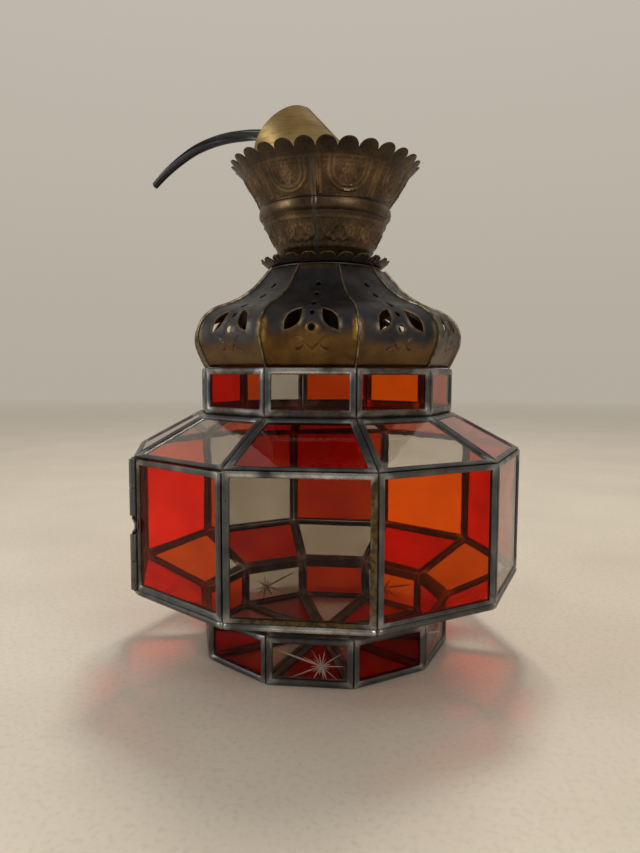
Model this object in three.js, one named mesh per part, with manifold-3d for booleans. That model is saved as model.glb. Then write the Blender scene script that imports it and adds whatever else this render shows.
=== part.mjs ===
// A ten-sided hanging lantern of leaded glass with a pierced dome, an embossed crown and a hinged pane.
// Millimetres, +Z up. The origin is the centre of the underside of the base.
// Facet 0 faces -Y, and facet numbers grow towards +X. Corner k lies between facet k and facet k + 1.
import * as THREE from 'three';
import { mergeVertices } from 'three/addons/utils/BufferGeometryUtils.js';
import Module from 'manifold-3d';

const wasm = await Module();
wasm.setup();

// ---- Driving dimensions ----

const SIDES = 10;
const FACET_ANGLE = (2 * Math.PI) / SIDES;
const FLAT_PER_CORNER = Math.cos(FACET_ANGLE / 2);
const GAP = 0.3;
const CUTTER_MARGIN = 1;
const TURNED_SEGMENTS = 16;

// Tiers of the glass body: corner radius and height of each arris, from the base's centre up to the dome.
const BASE_RADIUS = 97.3;
const MAIN_RADIUS = 150;
const NECK_RADIUS = 98.3;
const LOWER_TIER_TOP = 31.4;
const MAIN_BOTTOM = 59.2;
const MAIN_TOP = 153.6;
const SHOULDER_TOP = 183.6;
const UPPER_TIER_TOP = 213.6;

// Lead cames and the panes in their channels.
const CAME_DEPTH = 4.4;
const CAME_FACE = 4.8;
const CHANNEL_EDGE = 3.6;
const CHANNEL_OUTER_DEPTH = 0.8;
const CHANNEL_INNER_DEPTH = 3.0;
const PANE_EDGE = CHANNEL_EDGE + GAP;
const PANE_OUTER_DEPTH = CHANNEL_OUTER_DEPTH + GAP;
const PANE_INNER_DEPTH = CHANNEL_INNER_DEPTH - GAP;
const MITRE_SETBACK = 0.2;

// Door in the main tier, hung on the corner to its left.
const DOOR_FACET = -1;
const DOOR_SLIT = 1.6;
const DOOR_BOTTOM = 60.6;
const DOOR_TOP = 152.4;
const DOORWAY_MARGIN = 10;
const MITRE_REACH = 8;
const KNUCKLE_RADIUS = 2.6;
const KNUCKLE_BORE_RADIUS = 1.2;
const KNUCKLE_OVERLAP = 0.6 * KNUCKLE_RADIUS;
const KNUCKLE_HEIGHTS = {
  hinge_knuckle_top: [132.0, 151.6],
  door_knuckle_upper: [112.8, 131.7],
  door_knuckle_lower: [81.5, 100.0],
  hinge_knuckle_bottom: [61.4, 81.2],
};

// Hinge pin, bent where it shows between the knuckles: height, and how far sideways and outwards it goes.
const PIN_RADIUS = 0.9;
const PIN_SIDES = 6;
const PIN_STEPS = 60;
const PIN_STATIONS = [
  [60.4, 0, 0],
  [80, 0, 0],
  [98, 0, 0],
  [100.6, 0.05, 0.15],
  [101.8, 0.9, 1.0],
  [103.0, 2.9, 1.5],
  [104.4, 4.6, 1.6],
  [106.4, 5.2, 1.6],
  [108.4, 4.6, 1.6],
  [109.8, 2.9, 1.5],
  [111.0, 0.9, 1.0],
  [112.2, 0.05, 0.15],
  [114.8, 0, 0],
  [136, 0, 0],
  [152.4, 0, 0],
];

// Pierced dome: corner radius and height down its outer face, foot first.
const DOME_SHEET = 1.2;
const DOME_PROFILE = [
  [94.6, UPPER_TIER_TOP + GAP],
  [96.5, 217.0],
  [102.8, 231.5],
  [102.4, 241.5],
  [96.5, 251.0],
  [79.0, 260.0],
  [60.0, 271.0],
  [45.3, 287.0],
];
const SEAM_WIDTH = 1.4;
const SEAM_HEIGHT = 1.6;
const DROP_HOLES = [
  { height: 272, radius: 1.4, sides: 6 },
  { height: 264, radius: 1.4, sides: 6 },
  { height: 256, radius: 1.4, sides: 6 },
  { height: 249, radius: 1.4, sides: 6 },
  { height: 239, radius: 3.0, sides: 8 },
];
const LEAF_TOP = [6.4, 252];
const LEAF_FOOT = [17.7, 237];
const LEAF_HALF_WIDTH = 4.8;
const LEAF_BULGE_SHARES = [0.28, 0.72];
const PUNCH_START = 30;

// Crown, collar and neck: round sheet-metal pieces above the dome.
const NECK_PLATE_BOTTOM = 287.3;
const NECK_PLATE_TOP = 288.4;
const NECK_PLATE_RADIUS = 44;
const NECK_PLATE_SEGMENTS = 30;
const CROWN_SHEET = 1.0;
const CROWN_SCALLOPS = 28;
const CROWN_NOTCH_SHARE = 0.42;
const CROWN_WALL = [
  [29.4, NECK_PLATE_TOP + GAP],
  [47.3, 323.3],
  [49.6, 326.6],
  [49.6, 331.4],
  [48.5, 333.6],
  [62.4, 356.6],
];
const CROWN_LIP_TIP = [71.5, 367.8];
const COLLAR_SHEET = 0.8;
const COLLAR_SCALLOPS = 22;
const COLLAR_NOTCH_SHARE = 0.3;
const COLLAR_WALL = [
  [31.2, NECK_PLATE_TOP + GAP],
  [43.4, NECK_PLATE_TOP + GAP],
  [45.6, 290.6],
];
const COLLAR_LIP_TIP = [50.0, 295.6];
const STEPS_PER_SCALLOP = 3;

// Lampholder, on the axis inside the dome.
const TUBE_RADIUS = 6.4;
const TUBE_BORE_RADIUS = 4.9;
const TUBE_BOTTOM = 274;
const TUBE_TOP = 293;
const NUT_CORNER_RADIUS = 10.4;
const NUT_HEIGHT = 4;
const NUT_BORE_SEGMENTS = 20;
const GRIP_TOP = 299;
const GRIP_RADIUS = 8.4;
const GRIP_CHAMFER = 2;
const HOLDER_RADIUS = 20;
const HOLDER_WALL = 1.6;
const HOLDER_BOTTOM = 222;
const CAP_BOTTOM = 266;
const CAP_TOP = NECK_PLATE_BOTTOM - GAP;
const CAP_WALL = 2;
const CAP_FLARE = 3;
const CAP_NECK_LENGTH = 7;
const CAP_SHOULDER = 6;
const INSULATOR_BOTTOM = 251;
const INSULATOR_TOP = 260;
const INSULATOR_RADIUS = 18;
const INSULATOR_BORE_RADIUS = 4.4;
const SCREW_SHELL_RADIUS = 14.6;
const SCREW_SHELL_SHEET = 1.0;
const SCREW_SHELL_BOTTOM = 224;
const CONTACT_RADIUS = 4.1;
const CONTACT_BORE_RADIUS = 1.2;
const CONTACT_BOTTOM = 248;
const CONTACT_TOP = 253;

// Ceiling cup, loose on the flex and leaning in the crown with its open end up.
const CUP_RADIUS = 28;
const CUP_LENGTH = 46;
const CUP_SHEET = 1.0;
const CUP_FLOOR_CENTRE = [-3.4, -12.4, 355.8];
const CUP_AXIS = [-0.622, 0.301, 0.723];
const CUP_SEGMENTS = 28;
const BUSHING_RADIUS = 8.3;
const BUSHING_BORE_RADIUS = 6.8;
const BUSHING_FLANGE = 2.2;
const BUSHING_FLANGE_THICKNESS = 1.4;
const BUSHING_STICK_OUT = 1;

// Flex: the line of its centre from the cord grip, through the cup, to its cut end.
const FLEX_RADIUS = 4.3;
const FLEX_SIDES = 8;
const FLEX_STEPS = 24;
const FLEX_ROUTE = [
  [0, 0, GRIP_TOP + GAP],
  [0, 0, 301],
  [0.4, -0.8, 307.9],
  [1.5, -3.8, 317.6],
  [1.5, -9.0, 331.2],
  [-1.0, -12.0, 346],
  [-4.1, -12.2, 355.9],
  [-9.1, -10.3, 366.5],
  [-18, -5.3, 378.7],
  [-32.4, 3.2, 389.6],
  [-44.5, 10.5, 394.8],
  [-57.3, 17, 397.9],
  [-67.5, 21, 399],
  [-82, 25, 399],
  [-96.9, 29, 397],
  [-111.7, 32, 392.3],
  [-126.0, 34.5, 384.4],
  [-138.2, 36, 375.4],
  [-148.0, 37, 366.2],
];

const FINISHES = {
  lead: { color: 0x4a4a48, roughness: 0.5, metalness: 0.8 },
  red_glass: { color: 0xb01808, roughness: 0.08, metalness: 0 },
  clear_glass: { color: 0xd8d4c8, roughness: 0.08, metalness: 0 },
  patina_brass: { color: 0x3a3226, roughness: 0.45, metalness: 0.8 },
  embossed_brass: { color: 0x5a3d26, roughness: 0.45, metalness: 0.8 },
  steel: { color: 0x8c8c8a, roughness: 0.4, metalness: 0.9 },
  brass: { color: 0xa88c4c, roughness: 0.35, metalness: 0.9 },
  black_plastic: { color: 0x141414, roughness: 0.5, metalness: 0 },
  porcelain: { color: 0xe6e2d8, roughness: 0.3, metalness: 0 },
};

// ---- Solids and meshes ----

const lantern = new THREE.Group();

function solidOf(geometry) {
  const bare = geometry.clone();
  bare.deleteAttribute('normal');
  bare.deleteAttribute('uv');
  const merged = mergeVertices(bare, 1e-5);
  const triVerts = Uint32Array.from(merged.index.array);
  const vertProperties = Float32Array.from(merged.attributes.position.array);
  return new wasm.Manifold(new wasm.Mesh({ numProp: 3, vertProperties, triVerts }));
}

function geometryOf(solid) {
  const mesh = solid.asOriginal().simplify(0.01).getMesh();
  const geometry = new THREE.BufferGeometry();
  geometry.setAttribute('position', new THREE.BufferAttribute(Float32Array.from(mesh.vertProperties), 3));
  geometry.setIndex(new THREE.BufferAttribute(Uint32Array.from(mesh.triVerts), 1));
  geometry.computeVertexNormals();
  return geometry;
}

function cut(blank, tools) {
  let solid = solidOf(blank);
  for (const tool of tools) {
    solid = solid.subtract(solidOf(tool));
  }
  return geometryOf(solid);
}

function join(pieces) {
  let solid = solidOf(pieces[0]);
  for (const piece of pieces.slice(1)) {
    solid = solid.add(solidOf(piece));
  }
  return geometryOf(solid);
}

function place(name, geometry, finish) {
  const mesh = new THREE.Mesh(geometry, new THREE.MeshStandardMaterial(FINISHES[finish]));
  mesh.name = name;
  lantern.add(mesh);
  return mesh;
}

// ---- Shapes in the plane ----

function vector2(pair) {
  return new THREE.Vector2(pair[0], pair[1]);
}

// Moves a run of points to its left by a distance, and meets neighbouring sides on their bisector.
function offsetRun(points, distance, closed = false) {
  const count = points.length;
  const sideNormal = (start, end) => {
    const along = vector2(end).sub(vector2(start)).normalize();
    return new THREE.Vector2(-along.y, along.x);
  };
  return points.map((point, i) => {
    const before = closed || i > 0 ? points[(i + count - 1) % count] : null;
    const after = closed || i < count - 1 ? points[(i + 1) % count] : null;
    const first = before ? sideNormal(before, point) : sideNormal(point, after);
    const second = after ? sideNormal(point, after) : first;
    const reach = distance / (1 + first.dot(second));
    return [point[0] + (first.x + second.x) * reach, point[1] + (first.y + second.y) * reach];
  });
}

// Closed outline of a sheet whose outer face follows a run, with its thickness on the inside.
function sheetOutline(outer, thickness) {
  return [...outer, ...offsetRun(outer, thickness).reverse()];
}

function counterClockwise(outline) {
  const points = outline.map(vector2);
  return THREE.ShapeUtils.area(points) < 0 ? points.reverse() : points;
}

// Turns a closed outline of (radius, height) about Z. Ten segments put corners on the lantern's corners.
function turned(outline, segments, firstAngle = 0) {
  const points = counterClockwise(outline);
  points.push(points[0].clone());
  const geometry = new THREE.LatheGeometry(points, segments, firstAngle);
  return geometry.rotateX(Math.PI / 2);
}

function ring(innerRadius, outerRadius, bottom, top, segments = TURNED_SEGMENTS) {
  const outline = [[innerRadius, bottom], [outerRadius, bottom], [outerRadius, top], [innerRadius, top]];
  return turned(outline, segments);
}

function tenSided(outline) {
  const corners = outline.map(([flat, height]) => [flat / FLAT_PER_CORNER, height]);
  return turned(corners, SIDES, FACET_ANGLE / 2);
}

// ---- Facets ----

const ARRISES = [
  [0, 0],
  [BASE_RADIUS, 0],
  [BASE_RADIUS, LOWER_TIER_TOP],
  [MAIN_RADIUS, MAIN_BOTTOM],
  [MAIN_RADIUS, MAIN_TOP],
  [NECK_RADIUS, SHOULDER_TOP],
  [NECK_RADIUS, UPPER_TIER_TOP],
].map(([radius, height]) => [radius * FLAT_PER_CORNER, height]);

const TIER = { base: 0, lower_tier: 1, lower_slope: 2, main_tier: 3, upper_slope: 4, upper_tier: 5 };
const FACETS = Array.from({ length: SIDES }, (_, i) => i - 4);

// The frame of one facet: u runs sideways, v up its face, and w outwards, from the middle of its lower edge.
function facetFrame(tier, facet) {
  const [start, end] = [ARRISES[tier], ARRISES[tier + 1]];
  const angle = facet * FACET_ANGLE;
  const outward = new THREE.Vector3(Math.sin(angle), -Math.cos(angle), 0);
  const at = ([flat, height]) => outward.clone().multiplyScalar(flat).setZ(height);
  const u = new THREE.Vector3(Math.cos(angle), Math.sin(angle), 0);
  const v = at(end).sub(at(start)).normalize();
  const w = new THREE.Vector3().crossVectors(u, v);
  return new THREE.Matrix4().makeBasis(u, v, w).setPosition(at(start));
}

function facetOutline(tier) {
  const [start, end] = [ARRISES[tier], ARRISES[tier + 1]];
  const halfStart = start[0] * Math.tan(FACET_ANGLE / 2);
  const halfEnd = end[0] * Math.tan(FACET_ANGLE / 2);
  const length = vector2(end).distanceTo(vector2(start));
  const corners = [[halfStart, 0], [halfEnd, length], [-halfEnd, length]];
  return halfStart > 0 ? [[-halfStart, 0], ...corners] : corners;
}

// A plate in a facet's frame, between two depths below its outer face.
function facetPlate(frame, outline, outerDepth, innerDepth) {
  const shape = new THREE.Shape(outline.map(vector2));
  const geometry = new THREE.ExtrudeGeometry(shape, { depth: innerDepth - outerDepth, bevelEnabled: false });
  return geometry.translate(0, 0, -innerDepth).applyMatrix4(frame);
}

function facetPane(frame, outline) {
  return facetPlate(frame, offsetRun(outline, PANE_EDGE, true), PANE_OUTER_DEPTH, PANE_INNER_DEPTH);
}

function windowCutters(frame, outline) {
  const window = offsetRun(outline, CAME_FACE, true);
  const channel = offsetRun(outline, CHANNEL_EDGE, true);
  return [
    facetPlate(frame, window, -CUTTER_MARGIN, CAME_DEPTH + CUTTER_MARGIN),
    facetPlate(frame, channel, CHANNEL_OUTER_DEPTH, CHANNEL_INNER_DEPTH),
  ];
}

// ---- Cames and glass ----

// Section of a tier's wall between two depths, set back at the mitres that it shares with the next tiers.
function tierSection(tier, outerDepth, innerDepth, setback) {
  const along = vector2(ARRISES[tier + 1]).sub(vector2(ARRISES[tier])).normalize();
  const outer = offsetRun(ARRISES, outerDepth).slice(tier, tier + 2);
  const inner = offsetRun(ARRISES, innerDepth).slice(tier, tier + 2);
  const startSetback = tier === TIER.base ? 0 : setback;
  const moved = (point, distance) => [point[0] + along.x * distance, point[1] + along.y * distance];
  return [
    moved(outer[0], startSetback),
    moved(outer[1], -setback),
    moved(inner[1], -setback),
    moved(inner[0], startSetback),
  ];
}

function tierBlank(tier) {
  return tenSided(tierSection(tier, 0, CAME_DEPTH, MITRE_SETBACK));
}

function cameLattice(tier) {
  const tools = FACETS.flatMap((facet) => windowCutters(facetFrame(tier, facet), facetOutline(tier)));
  return cut(tierBlank(tier), tools);
}

// The ten panes of a narrow tier, joined through the cames at their corners.
function glassBand(tier) {
  const section = tierSection(tier, PANE_OUTER_DEPTH, PANE_INNER_DEPTH, 0);
  const [bottom, top] = [ARRISES[tier][1] + PANE_EDGE, ARRISES[tier + 1][1] - PANE_EDGE];
  const clamped = section.map(([flat, height]) => [flat, Math.min(Math.max(height, bottom), top)]);
  return tenSided(clamped);
}

// Cames of a narrow tier, with a channel that runs on through their corners.
function bandLattice(tier) {
  const tools = FACETS.map((facet) => {
    const window = offsetRun(facetOutline(tier), CAME_FACE, true);
    return facetPlate(facetFrame(tier, facet), window, -CUTTER_MARGIN, CAME_DEPTH + CUTTER_MARGIN);
  });
  const [bottom, top] = [ARRISES[tier][1] + CHANNEL_EDGE, ARRISES[tier + 1][1] - CHANNEL_EDGE];
  const flat = ARRISES[tier][0];
  tools.push(tenSided([
    [flat - CHANNEL_INNER_DEPTH, bottom],
    [flat - CHANNEL_OUTER_DEPTH, bottom],
    [flat - CHANNEL_OUTER_DEPTH, top],
    [flat - CHANNEL_INNER_DEPTH, top],
  ]));
  return cut(tierBlank(tier), tools);
}

function baseLattice() {
  const tools = FACETS.map((facet) => {
    const window = offsetRun(facetOutline(TIER.base), CAME_FACE, true);
    return facetPlate(facetFrame(TIER.base, facet), window, -CUTTER_MARGIN, CAME_DEPTH + CUTTER_MARGIN);
  });
  const reach = ARRISES[1][0] - CHANNEL_EDGE;
  tools.push(tenSided([
    [0, CHANNEL_OUTER_DEPTH],
    [reach, CHANNEL_OUTER_DEPTH],
    [reach, CHANNEL_INNER_DEPTH],
    [0, CHANNEL_INNER_DEPTH],
  ]));
  return cut(tierBlank(TIER.base), tools);
}

function baseGlass() {
  const reach = ARRISES[1][0] - PANE_EDGE;
  return tenSided([
    [0, PANE_OUTER_DEPTH],
    [reach, PANE_OUTER_DEPTH],
    [reach, PANE_INNER_DEPTH],
    [0, PANE_INNER_DEPTH],
  ]);
}

// ---- Door ----

const HINGE_ANGLE = (DOOR_FACET - 0.5) * FACET_ANGLE;
const HINGE_AXIS = [MAIN_RADIUS * Math.sin(HINGE_ANGLE), -MAIN_RADIUS * Math.cos(HINGE_ANGLE)];

function hingeSeat() {
  const radius = KNUCKLE_RADIUS + GAP;
  const height = MAIN_TOP - MAIN_BOTTOM + 2 * DOORWAY_MARGIN;
  const seat = new THREE.CylinderGeometry(radius, radius, height, TURNED_SEGMENTS).rotateX(Math.PI / 2);
  return seat.translate(HINGE_AXIS[0], HINGE_AXIS[1], (MAIN_TOP + MAIN_BOTTOM) / 2);
}

// The main tier's cames, left out across the door's facet.
function mainLattice() {
  const reach = MAIN_RADIUS + 2 * DOORWAY_MARGIN;
  const edge = (angle) => [reach * Math.sin(angle), -reach * Math.cos(angle)];
  const middle = DOOR_FACET * FACET_ANGLE;
  const wedge = [[0, 0], edge(HINGE_ANGLE), edge(middle), edge(middle + FACET_ANGLE / 2)];
  const height = MAIN_TOP - MAIN_BOTTOM + 2 * DOORWAY_MARGIN;
  const shape = new THREE.Shape(wedge.map(vector2));
  const doorway = new THREE.ExtrudeGeometry(shape, { depth: height, bevelEnabled: false });
  doorway.translate(0, 0, MAIN_BOTTOM - DOORWAY_MARGIN);
  const panes = FACETS.filter((facet) => facet !== DOOR_FACET);
  const outline = facetOutline(TIER.main_tier);
  const tools = panes.flatMap((facet) => windowCutters(facetFrame(TIER.main_tier, facet), outline));
  return cut(tierBlank(TIER.main_tier), [doorway, hingeSeat(), ...tools]);
}

function doorOutline() {
  const half = MAIN_RADIUS * Math.sin(FACET_ANGLE / 2);
  const [left, right] = [-half + KNUCKLE_OVERLAP, half - DOOR_SLIT];
  const [bottom, top] = [DOOR_BOTTOM - MAIN_BOTTOM, DOOR_TOP - MAIN_BOTTOM];
  return [[left, bottom], [right, bottom], [right, top], [left, top]];
}

// Cuts the door's top or bottom edge parallel to the mitre of the slope next to it.
function doorMitre(arris, height, away) {
  const flat = ARRISES[arris][0];
  const inner = offsetRun(ARRISES, CAME_DEPTH)[arris];
  const lean = (inner[1] - ARRISES[arris][1]) / CAME_DEPTH;
  return tenSided([
    [flat + CUTTER_MARGIN, height - lean * CUTTER_MARGIN],
    [flat + CUTTER_MARGIN, height + away],
    [flat - MITRE_REACH, height + away],
    [flat - MITRE_REACH, height + lean * MITRE_REACH],
  ]);
}

function doorFrame() {
  const frame = facetFrame(TIER.main_tier, DOOR_FACET);
  const blank = facetPlate(frame, doorOutline(), 0, CAME_DEPTH);
  const top = doorMitre(TIER.upper_slope, DOOR_TOP, DOORWAY_MARGIN);
  const bottom = doorMitre(TIER.main_tier, DOOR_BOTTOM, -DOORWAY_MARGIN);
  return cut(blank, [hingeSeat(), top, bottom, ...windowCutters(frame, doorOutline())]);
}

function hingePin() {
  const frame = facetFrame(TIER.main_tier, DOOR_FACET);
  const sideways = new THREE.Vector3().setFromMatrixColumn(frame, 0);
  const outwards = new THREE.Vector3().setFromMatrixColumn(frame, 2);
  const points = PIN_STATIONS.map(([height, across, out]) => {
    const onAxis = new THREE.Vector3(HINGE_AXIS[0], HINGE_AXIS[1], height);
    return onAxis.addScaledVector(sideways, across).addScaledVector(outwards, out);
  });
  return tubeAlong(points, PIN_RADIUS, PIN_SIDES, PIN_STEPS);
}

function tubeAlong(points, radius, sides, steps) {
  const section = new THREE.Shape();
  for (let i = 0; i < sides; i += 1) {
    const angle = (i / sides) * 2 * Math.PI;
    section[i ? 'lineTo' : 'moveTo'](radius * Math.cos(angle), radius * Math.sin(angle));
  }
  section.closePath();
  const extrudePath = new THREE.CatmullRomCurve3(points);
  return new THREE.ExtrudeGeometry(section, { steps, extrudePath, bevelEnabled: false });
}

// ---- Dome ----

function domeShell() {
  const flats = DOME_PROFILE.map(([radius, height]) => [radius * FLAT_PER_CORNER, height]);
  const shell = tenSided(sheetOutline(flats, DOME_SHEET));
  const seamFace = offsetRun(DOME_PROFILE.slice(1), -SEAM_HEIGHT);
  const seamRoot = offsetRun(DOME_PROFILE.slice(1), DOME_SHEET / 2).reverse();
  const seamOutline = counterClockwise([...seamFace, ...seamRoot]);
  const seams = FACETS.map((facet) => {
    const shape = new THREE.Shape(seamOutline);
    const seam = new THREE.ExtrudeGeometry(shape, { depth: SEAM_WIDTH, bevelEnabled: false });
    seam.translate(0, 0, -SEAM_WIDTH / 2).rotateX(Math.PI / 2);
    return seam.rotateZ((facet + 0.5) * FACET_ANGLE - Math.PI / 2);
  });
  return cut(join([shell, ...seams]), FACETS.flatMap(domeCutters));
}

function domeCutters(facet) {
  const angle = facet * FACET_ANGLE;
  const outward = new THREE.Vector3(Math.sin(angle), -Math.cos(angle), 0);
  const u = new THREE.Vector3(Math.cos(angle), Math.sin(angle), 0);
  const frame = new THREE.Matrix4().makeBasis(u, new THREE.Vector3(0, 0, 1), outward);
  const punched = (shape) => {
    const tool = new THREE.ExtrudeGeometry(shape, { depth: MAIN_RADIUS, bevelEnabled: false });
    return tool.translate(0, 0, PUNCH_START).applyMatrix4(frame);
  };
  const drops = DROP_HOLES.map(({ height, radius, sides }) => punched(roundShape(0, height, radius, sides)));
  return [...drops, punched(leafShape(1)), punched(leafShape(-1))];
}

function roundShape(x, y, radius, sides) {
  const points = Array.from({ length: sides }, (_, i) => {
    const angle = (i / sides) * 2 * Math.PI;
    return new THREE.Vector2(x + radius * Math.cos(angle), y + radius * Math.sin(angle));
  });
  return new THREE.Shape(points);
}

// A pointed leaf from its top to its foot, whose two edges bulge like arcs.
function leafShape(side) {
  const top = new THREE.Vector2(side * LEAF_TOP[0], LEAF_TOP[1]);
  const foot = new THREE.Vector2(side * LEAF_FOOT[0], LEAF_FOOT[1]);
  const along = foot.clone().sub(top);
  const across = new THREE.Vector2(-along.y, along.x).normalize().multiplyScalar(LEAF_HALF_WIDTH);
  const edge = (share, sign) => {
    const width = sign * Math.sin(Math.PI * share);
    return top.clone().addScaledVector(along, share).addScaledVector(across, width);
  };
  const left = LEAF_BULGE_SHARES.map((share) => edge(share, 1));
  const right = LEAF_BULGE_SHARES.map((share) => edge(share, -1)).reverse();
  const points = [top, ...left, foot, ...right];
  return new THREE.Shape(counterClockwise(points.map((point) => [point.x, point.y])));
}

// ---- Scalloped sheet metal ----

// A round sheet whose lip runs on from its wall and ends in a row of rounded scallops.
function scalloped(wall, tip, sheet, scallops, notchShare) {
  const shell = turned(sheetOutline([...wall, tip], sheet), scallops * STEPS_PER_SCALLOP);
  const root = wall[wall.length - 1];
  const lip = vector2(tip).sub(vector2(root));
  const position = shell.attributes.position;
  for (let i = 0; i < position.count; i += 1) {
    const radius = Math.hypot(position.getX(i), position.getY(i));
    const turn = Math.atan2(position.getX(i), -position.getY(i)) / (2 * Math.PI);
    const fromRoot = new THREE.Vector2(radius, position.getZ(i)).sub(vector2(root));
    if (fromRoot.dot(lip) > lip.lengthSq() / 2) {
      const phase = (((turn * scallops) % 1) + 1) % 1;
      const share = notchShare + (1 - notchShare) * Math.sqrt(Math.max(0, 1 - (2 * phase - 1) ** 2));
      const newRadius = radius - lip.x * (1 - share);
      position.setX(i, (position.getX(i) * newRadius) / radius);
      position.setY(i, (position.getY(i) * newRadius) / radius);
      position.setZ(i, position.getZ(i) - lip.y * (1 - share));
    }
  }
  return geometryOf(solidOf(shell));
}

// ---- Lampholder and fixings ----

function hexNut(bottom) {
  const blank = new THREE.CylinderGeometry(NUT_CORNER_RADIUS, NUT_CORNER_RADIUS, NUT_HEIGHT, 6);
  const bore = TUBE_RADIUS + GAP;
  const drill = new THREE.CylinderGeometry(bore, bore, NUT_HEIGHT + 2 * CUTTER_MARGIN, NUT_BORE_SEGMENTS);
  return cut(blank, [drill]).rotateX(Math.PI / 2).translate(0, 0, bottom + NUT_HEIGHT / 2);
}

function holderCap() {
  const neck = TUBE_RADIUS + GAP;
  return turned([
    [neck, CAP_TOP],
    [neck, CAP_TOP - CAP_NECK_LENGTH],
    [neck + CAP_FLARE, CAP_TOP - CAP_NECK_LENGTH - CAP_WALL],
    [HOLDER_RADIUS - CAP_WALL, CAP_BOTTOM + CAP_SHOULDER],
    [HOLDER_RADIUS - CAP_WALL, CAP_BOTTOM],
    [HOLDER_RADIUS, CAP_BOTTOM],
    [HOLDER_RADIUS, CAP_BOTTOM + CAP_SHOULDER + CAP_WALL],
    [HOLDER_RADIUS - CAP_SHOULDER, CAP_TOP - CAP_SHOULDER],
    [neck + CAP_FLARE, CAP_TOP],
  ], TURNED_SEGMENTS);
}

function cordGrip() {
  return turned([
    [0, TUBE_TOP + GAP],
    [GRIP_RADIUS, TUBE_TOP + GAP],
    [GRIP_RADIUS, GRIP_TOP - GRIP_CHAMFER],
    [GRIP_RADIUS - GRIP_CHAMFER, GRIP_TOP],
    [0, GRIP_TOP],
  ], TURNED_SEGMENTS);
}

// ---- Ceiling cup and flex ----

function onCup(geometry) {
  const tilt = new THREE.Quaternion();
  tilt.setFromUnitVectors(new THREE.Vector3(0, 0, 1), new THREE.Vector3(...CUP_AXIS).normalize());
  return geometry.applyQuaternion(tilt).translate(...CUP_FLOOR_CENTRE);
}

function ceilingCup() {
  const hole = BUSHING_RADIUS + GAP;
  return onCup(turned([
    [hole, 0],
    [CUP_RADIUS, 0],
    [CUP_RADIUS, CUP_LENGTH],
    [CUP_RADIUS - CUP_SHEET, CUP_LENGTH],
    [CUP_RADIUS - CUP_SHEET, CUP_SHEET],
    [hole, CUP_SHEET],
  ], CUP_SEGMENTS));
}

function cupBushing() {
  const flange = BUSHING_RADIUS + BUSHING_FLANGE;
  const bottom = -GAP - BUSHING_FLANGE_THICKNESS;
  const top = CUP_SHEET + BUSHING_STICK_OUT;
  return onCup(turned([
    [BUSHING_BORE_RADIUS, bottom],
    [flange, bottom],
    [flange, -GAP],
    [BUSHING_RADIUS, -GAP],
    [BUSHING_RADIUS, top],
    [BUSHING_BORE_RADIUS, top],
  ], TURNED_SEGMENTS));
}

// ---- Assembly ----

function paneFinish(tierIsClearWhenEven, facet) {
  const even = facet % 2 === 0;
  return even === tierIsClearWhenEven ? 'clear_glass' : 'red_glass';
}

function placePanes(tier, prefix, clearWhenEven, skipped = null) {
  for (const facet of FACETS) {
    if (facet !== skipped) {
      const number = (facet + SIDES) % SIDES;
      const pane = facetPane(facetFrame(tier, facet), facetOutline(tier));
      place(`${prefix}_${number}`, pane, paneFinish(clearWhenEven, facet));
    }
  }
}

place('base_cames', baseLattice(), 'lead');
place('base_glass', baseGlass(), 'red_glass');
place('lower_tier_cames', bandLattice(TIER.lower_tier), 'lead');
place('lower_tier_glass', glassBand(TIER.lower_tier), 'red_glass');
place('lower_slope_cames', cameLattice(TIER.lower_slope), 'lead');
placePanes(TIER.lower_slope, 'lower_slope_pane', false);
place('main_tier_cames', mainLattice(), 'lead');
placePanes(TIER.main_tier, 'main_pane', true, DOOR_FACET);
place('upper_slope_cames', cameLattice(TIER.upper_slope), 'lead');
placePanes(TIER.upper_slope, 'upper_slope_pane', false);
place('upper_tier_cames', bandLattice(TIER.upper_tier), 'lead');
place('upper_tier_glass', glassBand(TIER.upper_tier), 'red_glass');

place('door_frame', doorFrame(), 'lead');
place('door_pane', facetPane(facetFrame(TIER.main_tier, DOOR_FACET), doorOutline()), 'red_glass');
for (const [name, [bottom, top]] of Object.entries(KNUCKLE_HEIGHTS)) {
  const knuckle = ring(KNUCKLE_BORE_RADIUS, KNUCKLE_RADIUS, bottom, top);
  place(name, knuckle, 'lead').position.set(HINGE_AXIS[0], HINGE_AXIS[1], 0);
}
place('hinge_pin', hingePin(), 'steel');

const tubeHole = TUBE_RADIUS + GAP;
const neckPlate = ring(tubeHole, NECK_PLATE_RADIUS, NECK_PLATE_BOTTOM, NECK_PLATE_TOP, NECK_PLATE_SEGMENTS);
place('dome', domeShell(), 'patina_brass');
place('neck_plate', neckPlate, 'patina_brass');
const collar = scalloped(COLLAR_WALL, COLLAR_LIP_TIP, COLLAR_SHEET, COLLAR_SCALLOPS, COLLAR_NOTCH_SHARE);
const crown = scalloped(CROWN_WALL, CROWN_LIP_TIP, CROWN_SHEET, CROWN_SCALLOPS, CROWN_NOTCH_SHARE);
place('ruffle_collar', collar, 'patina_brass');
place('crown', crown, 'embossed_brass');

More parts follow.
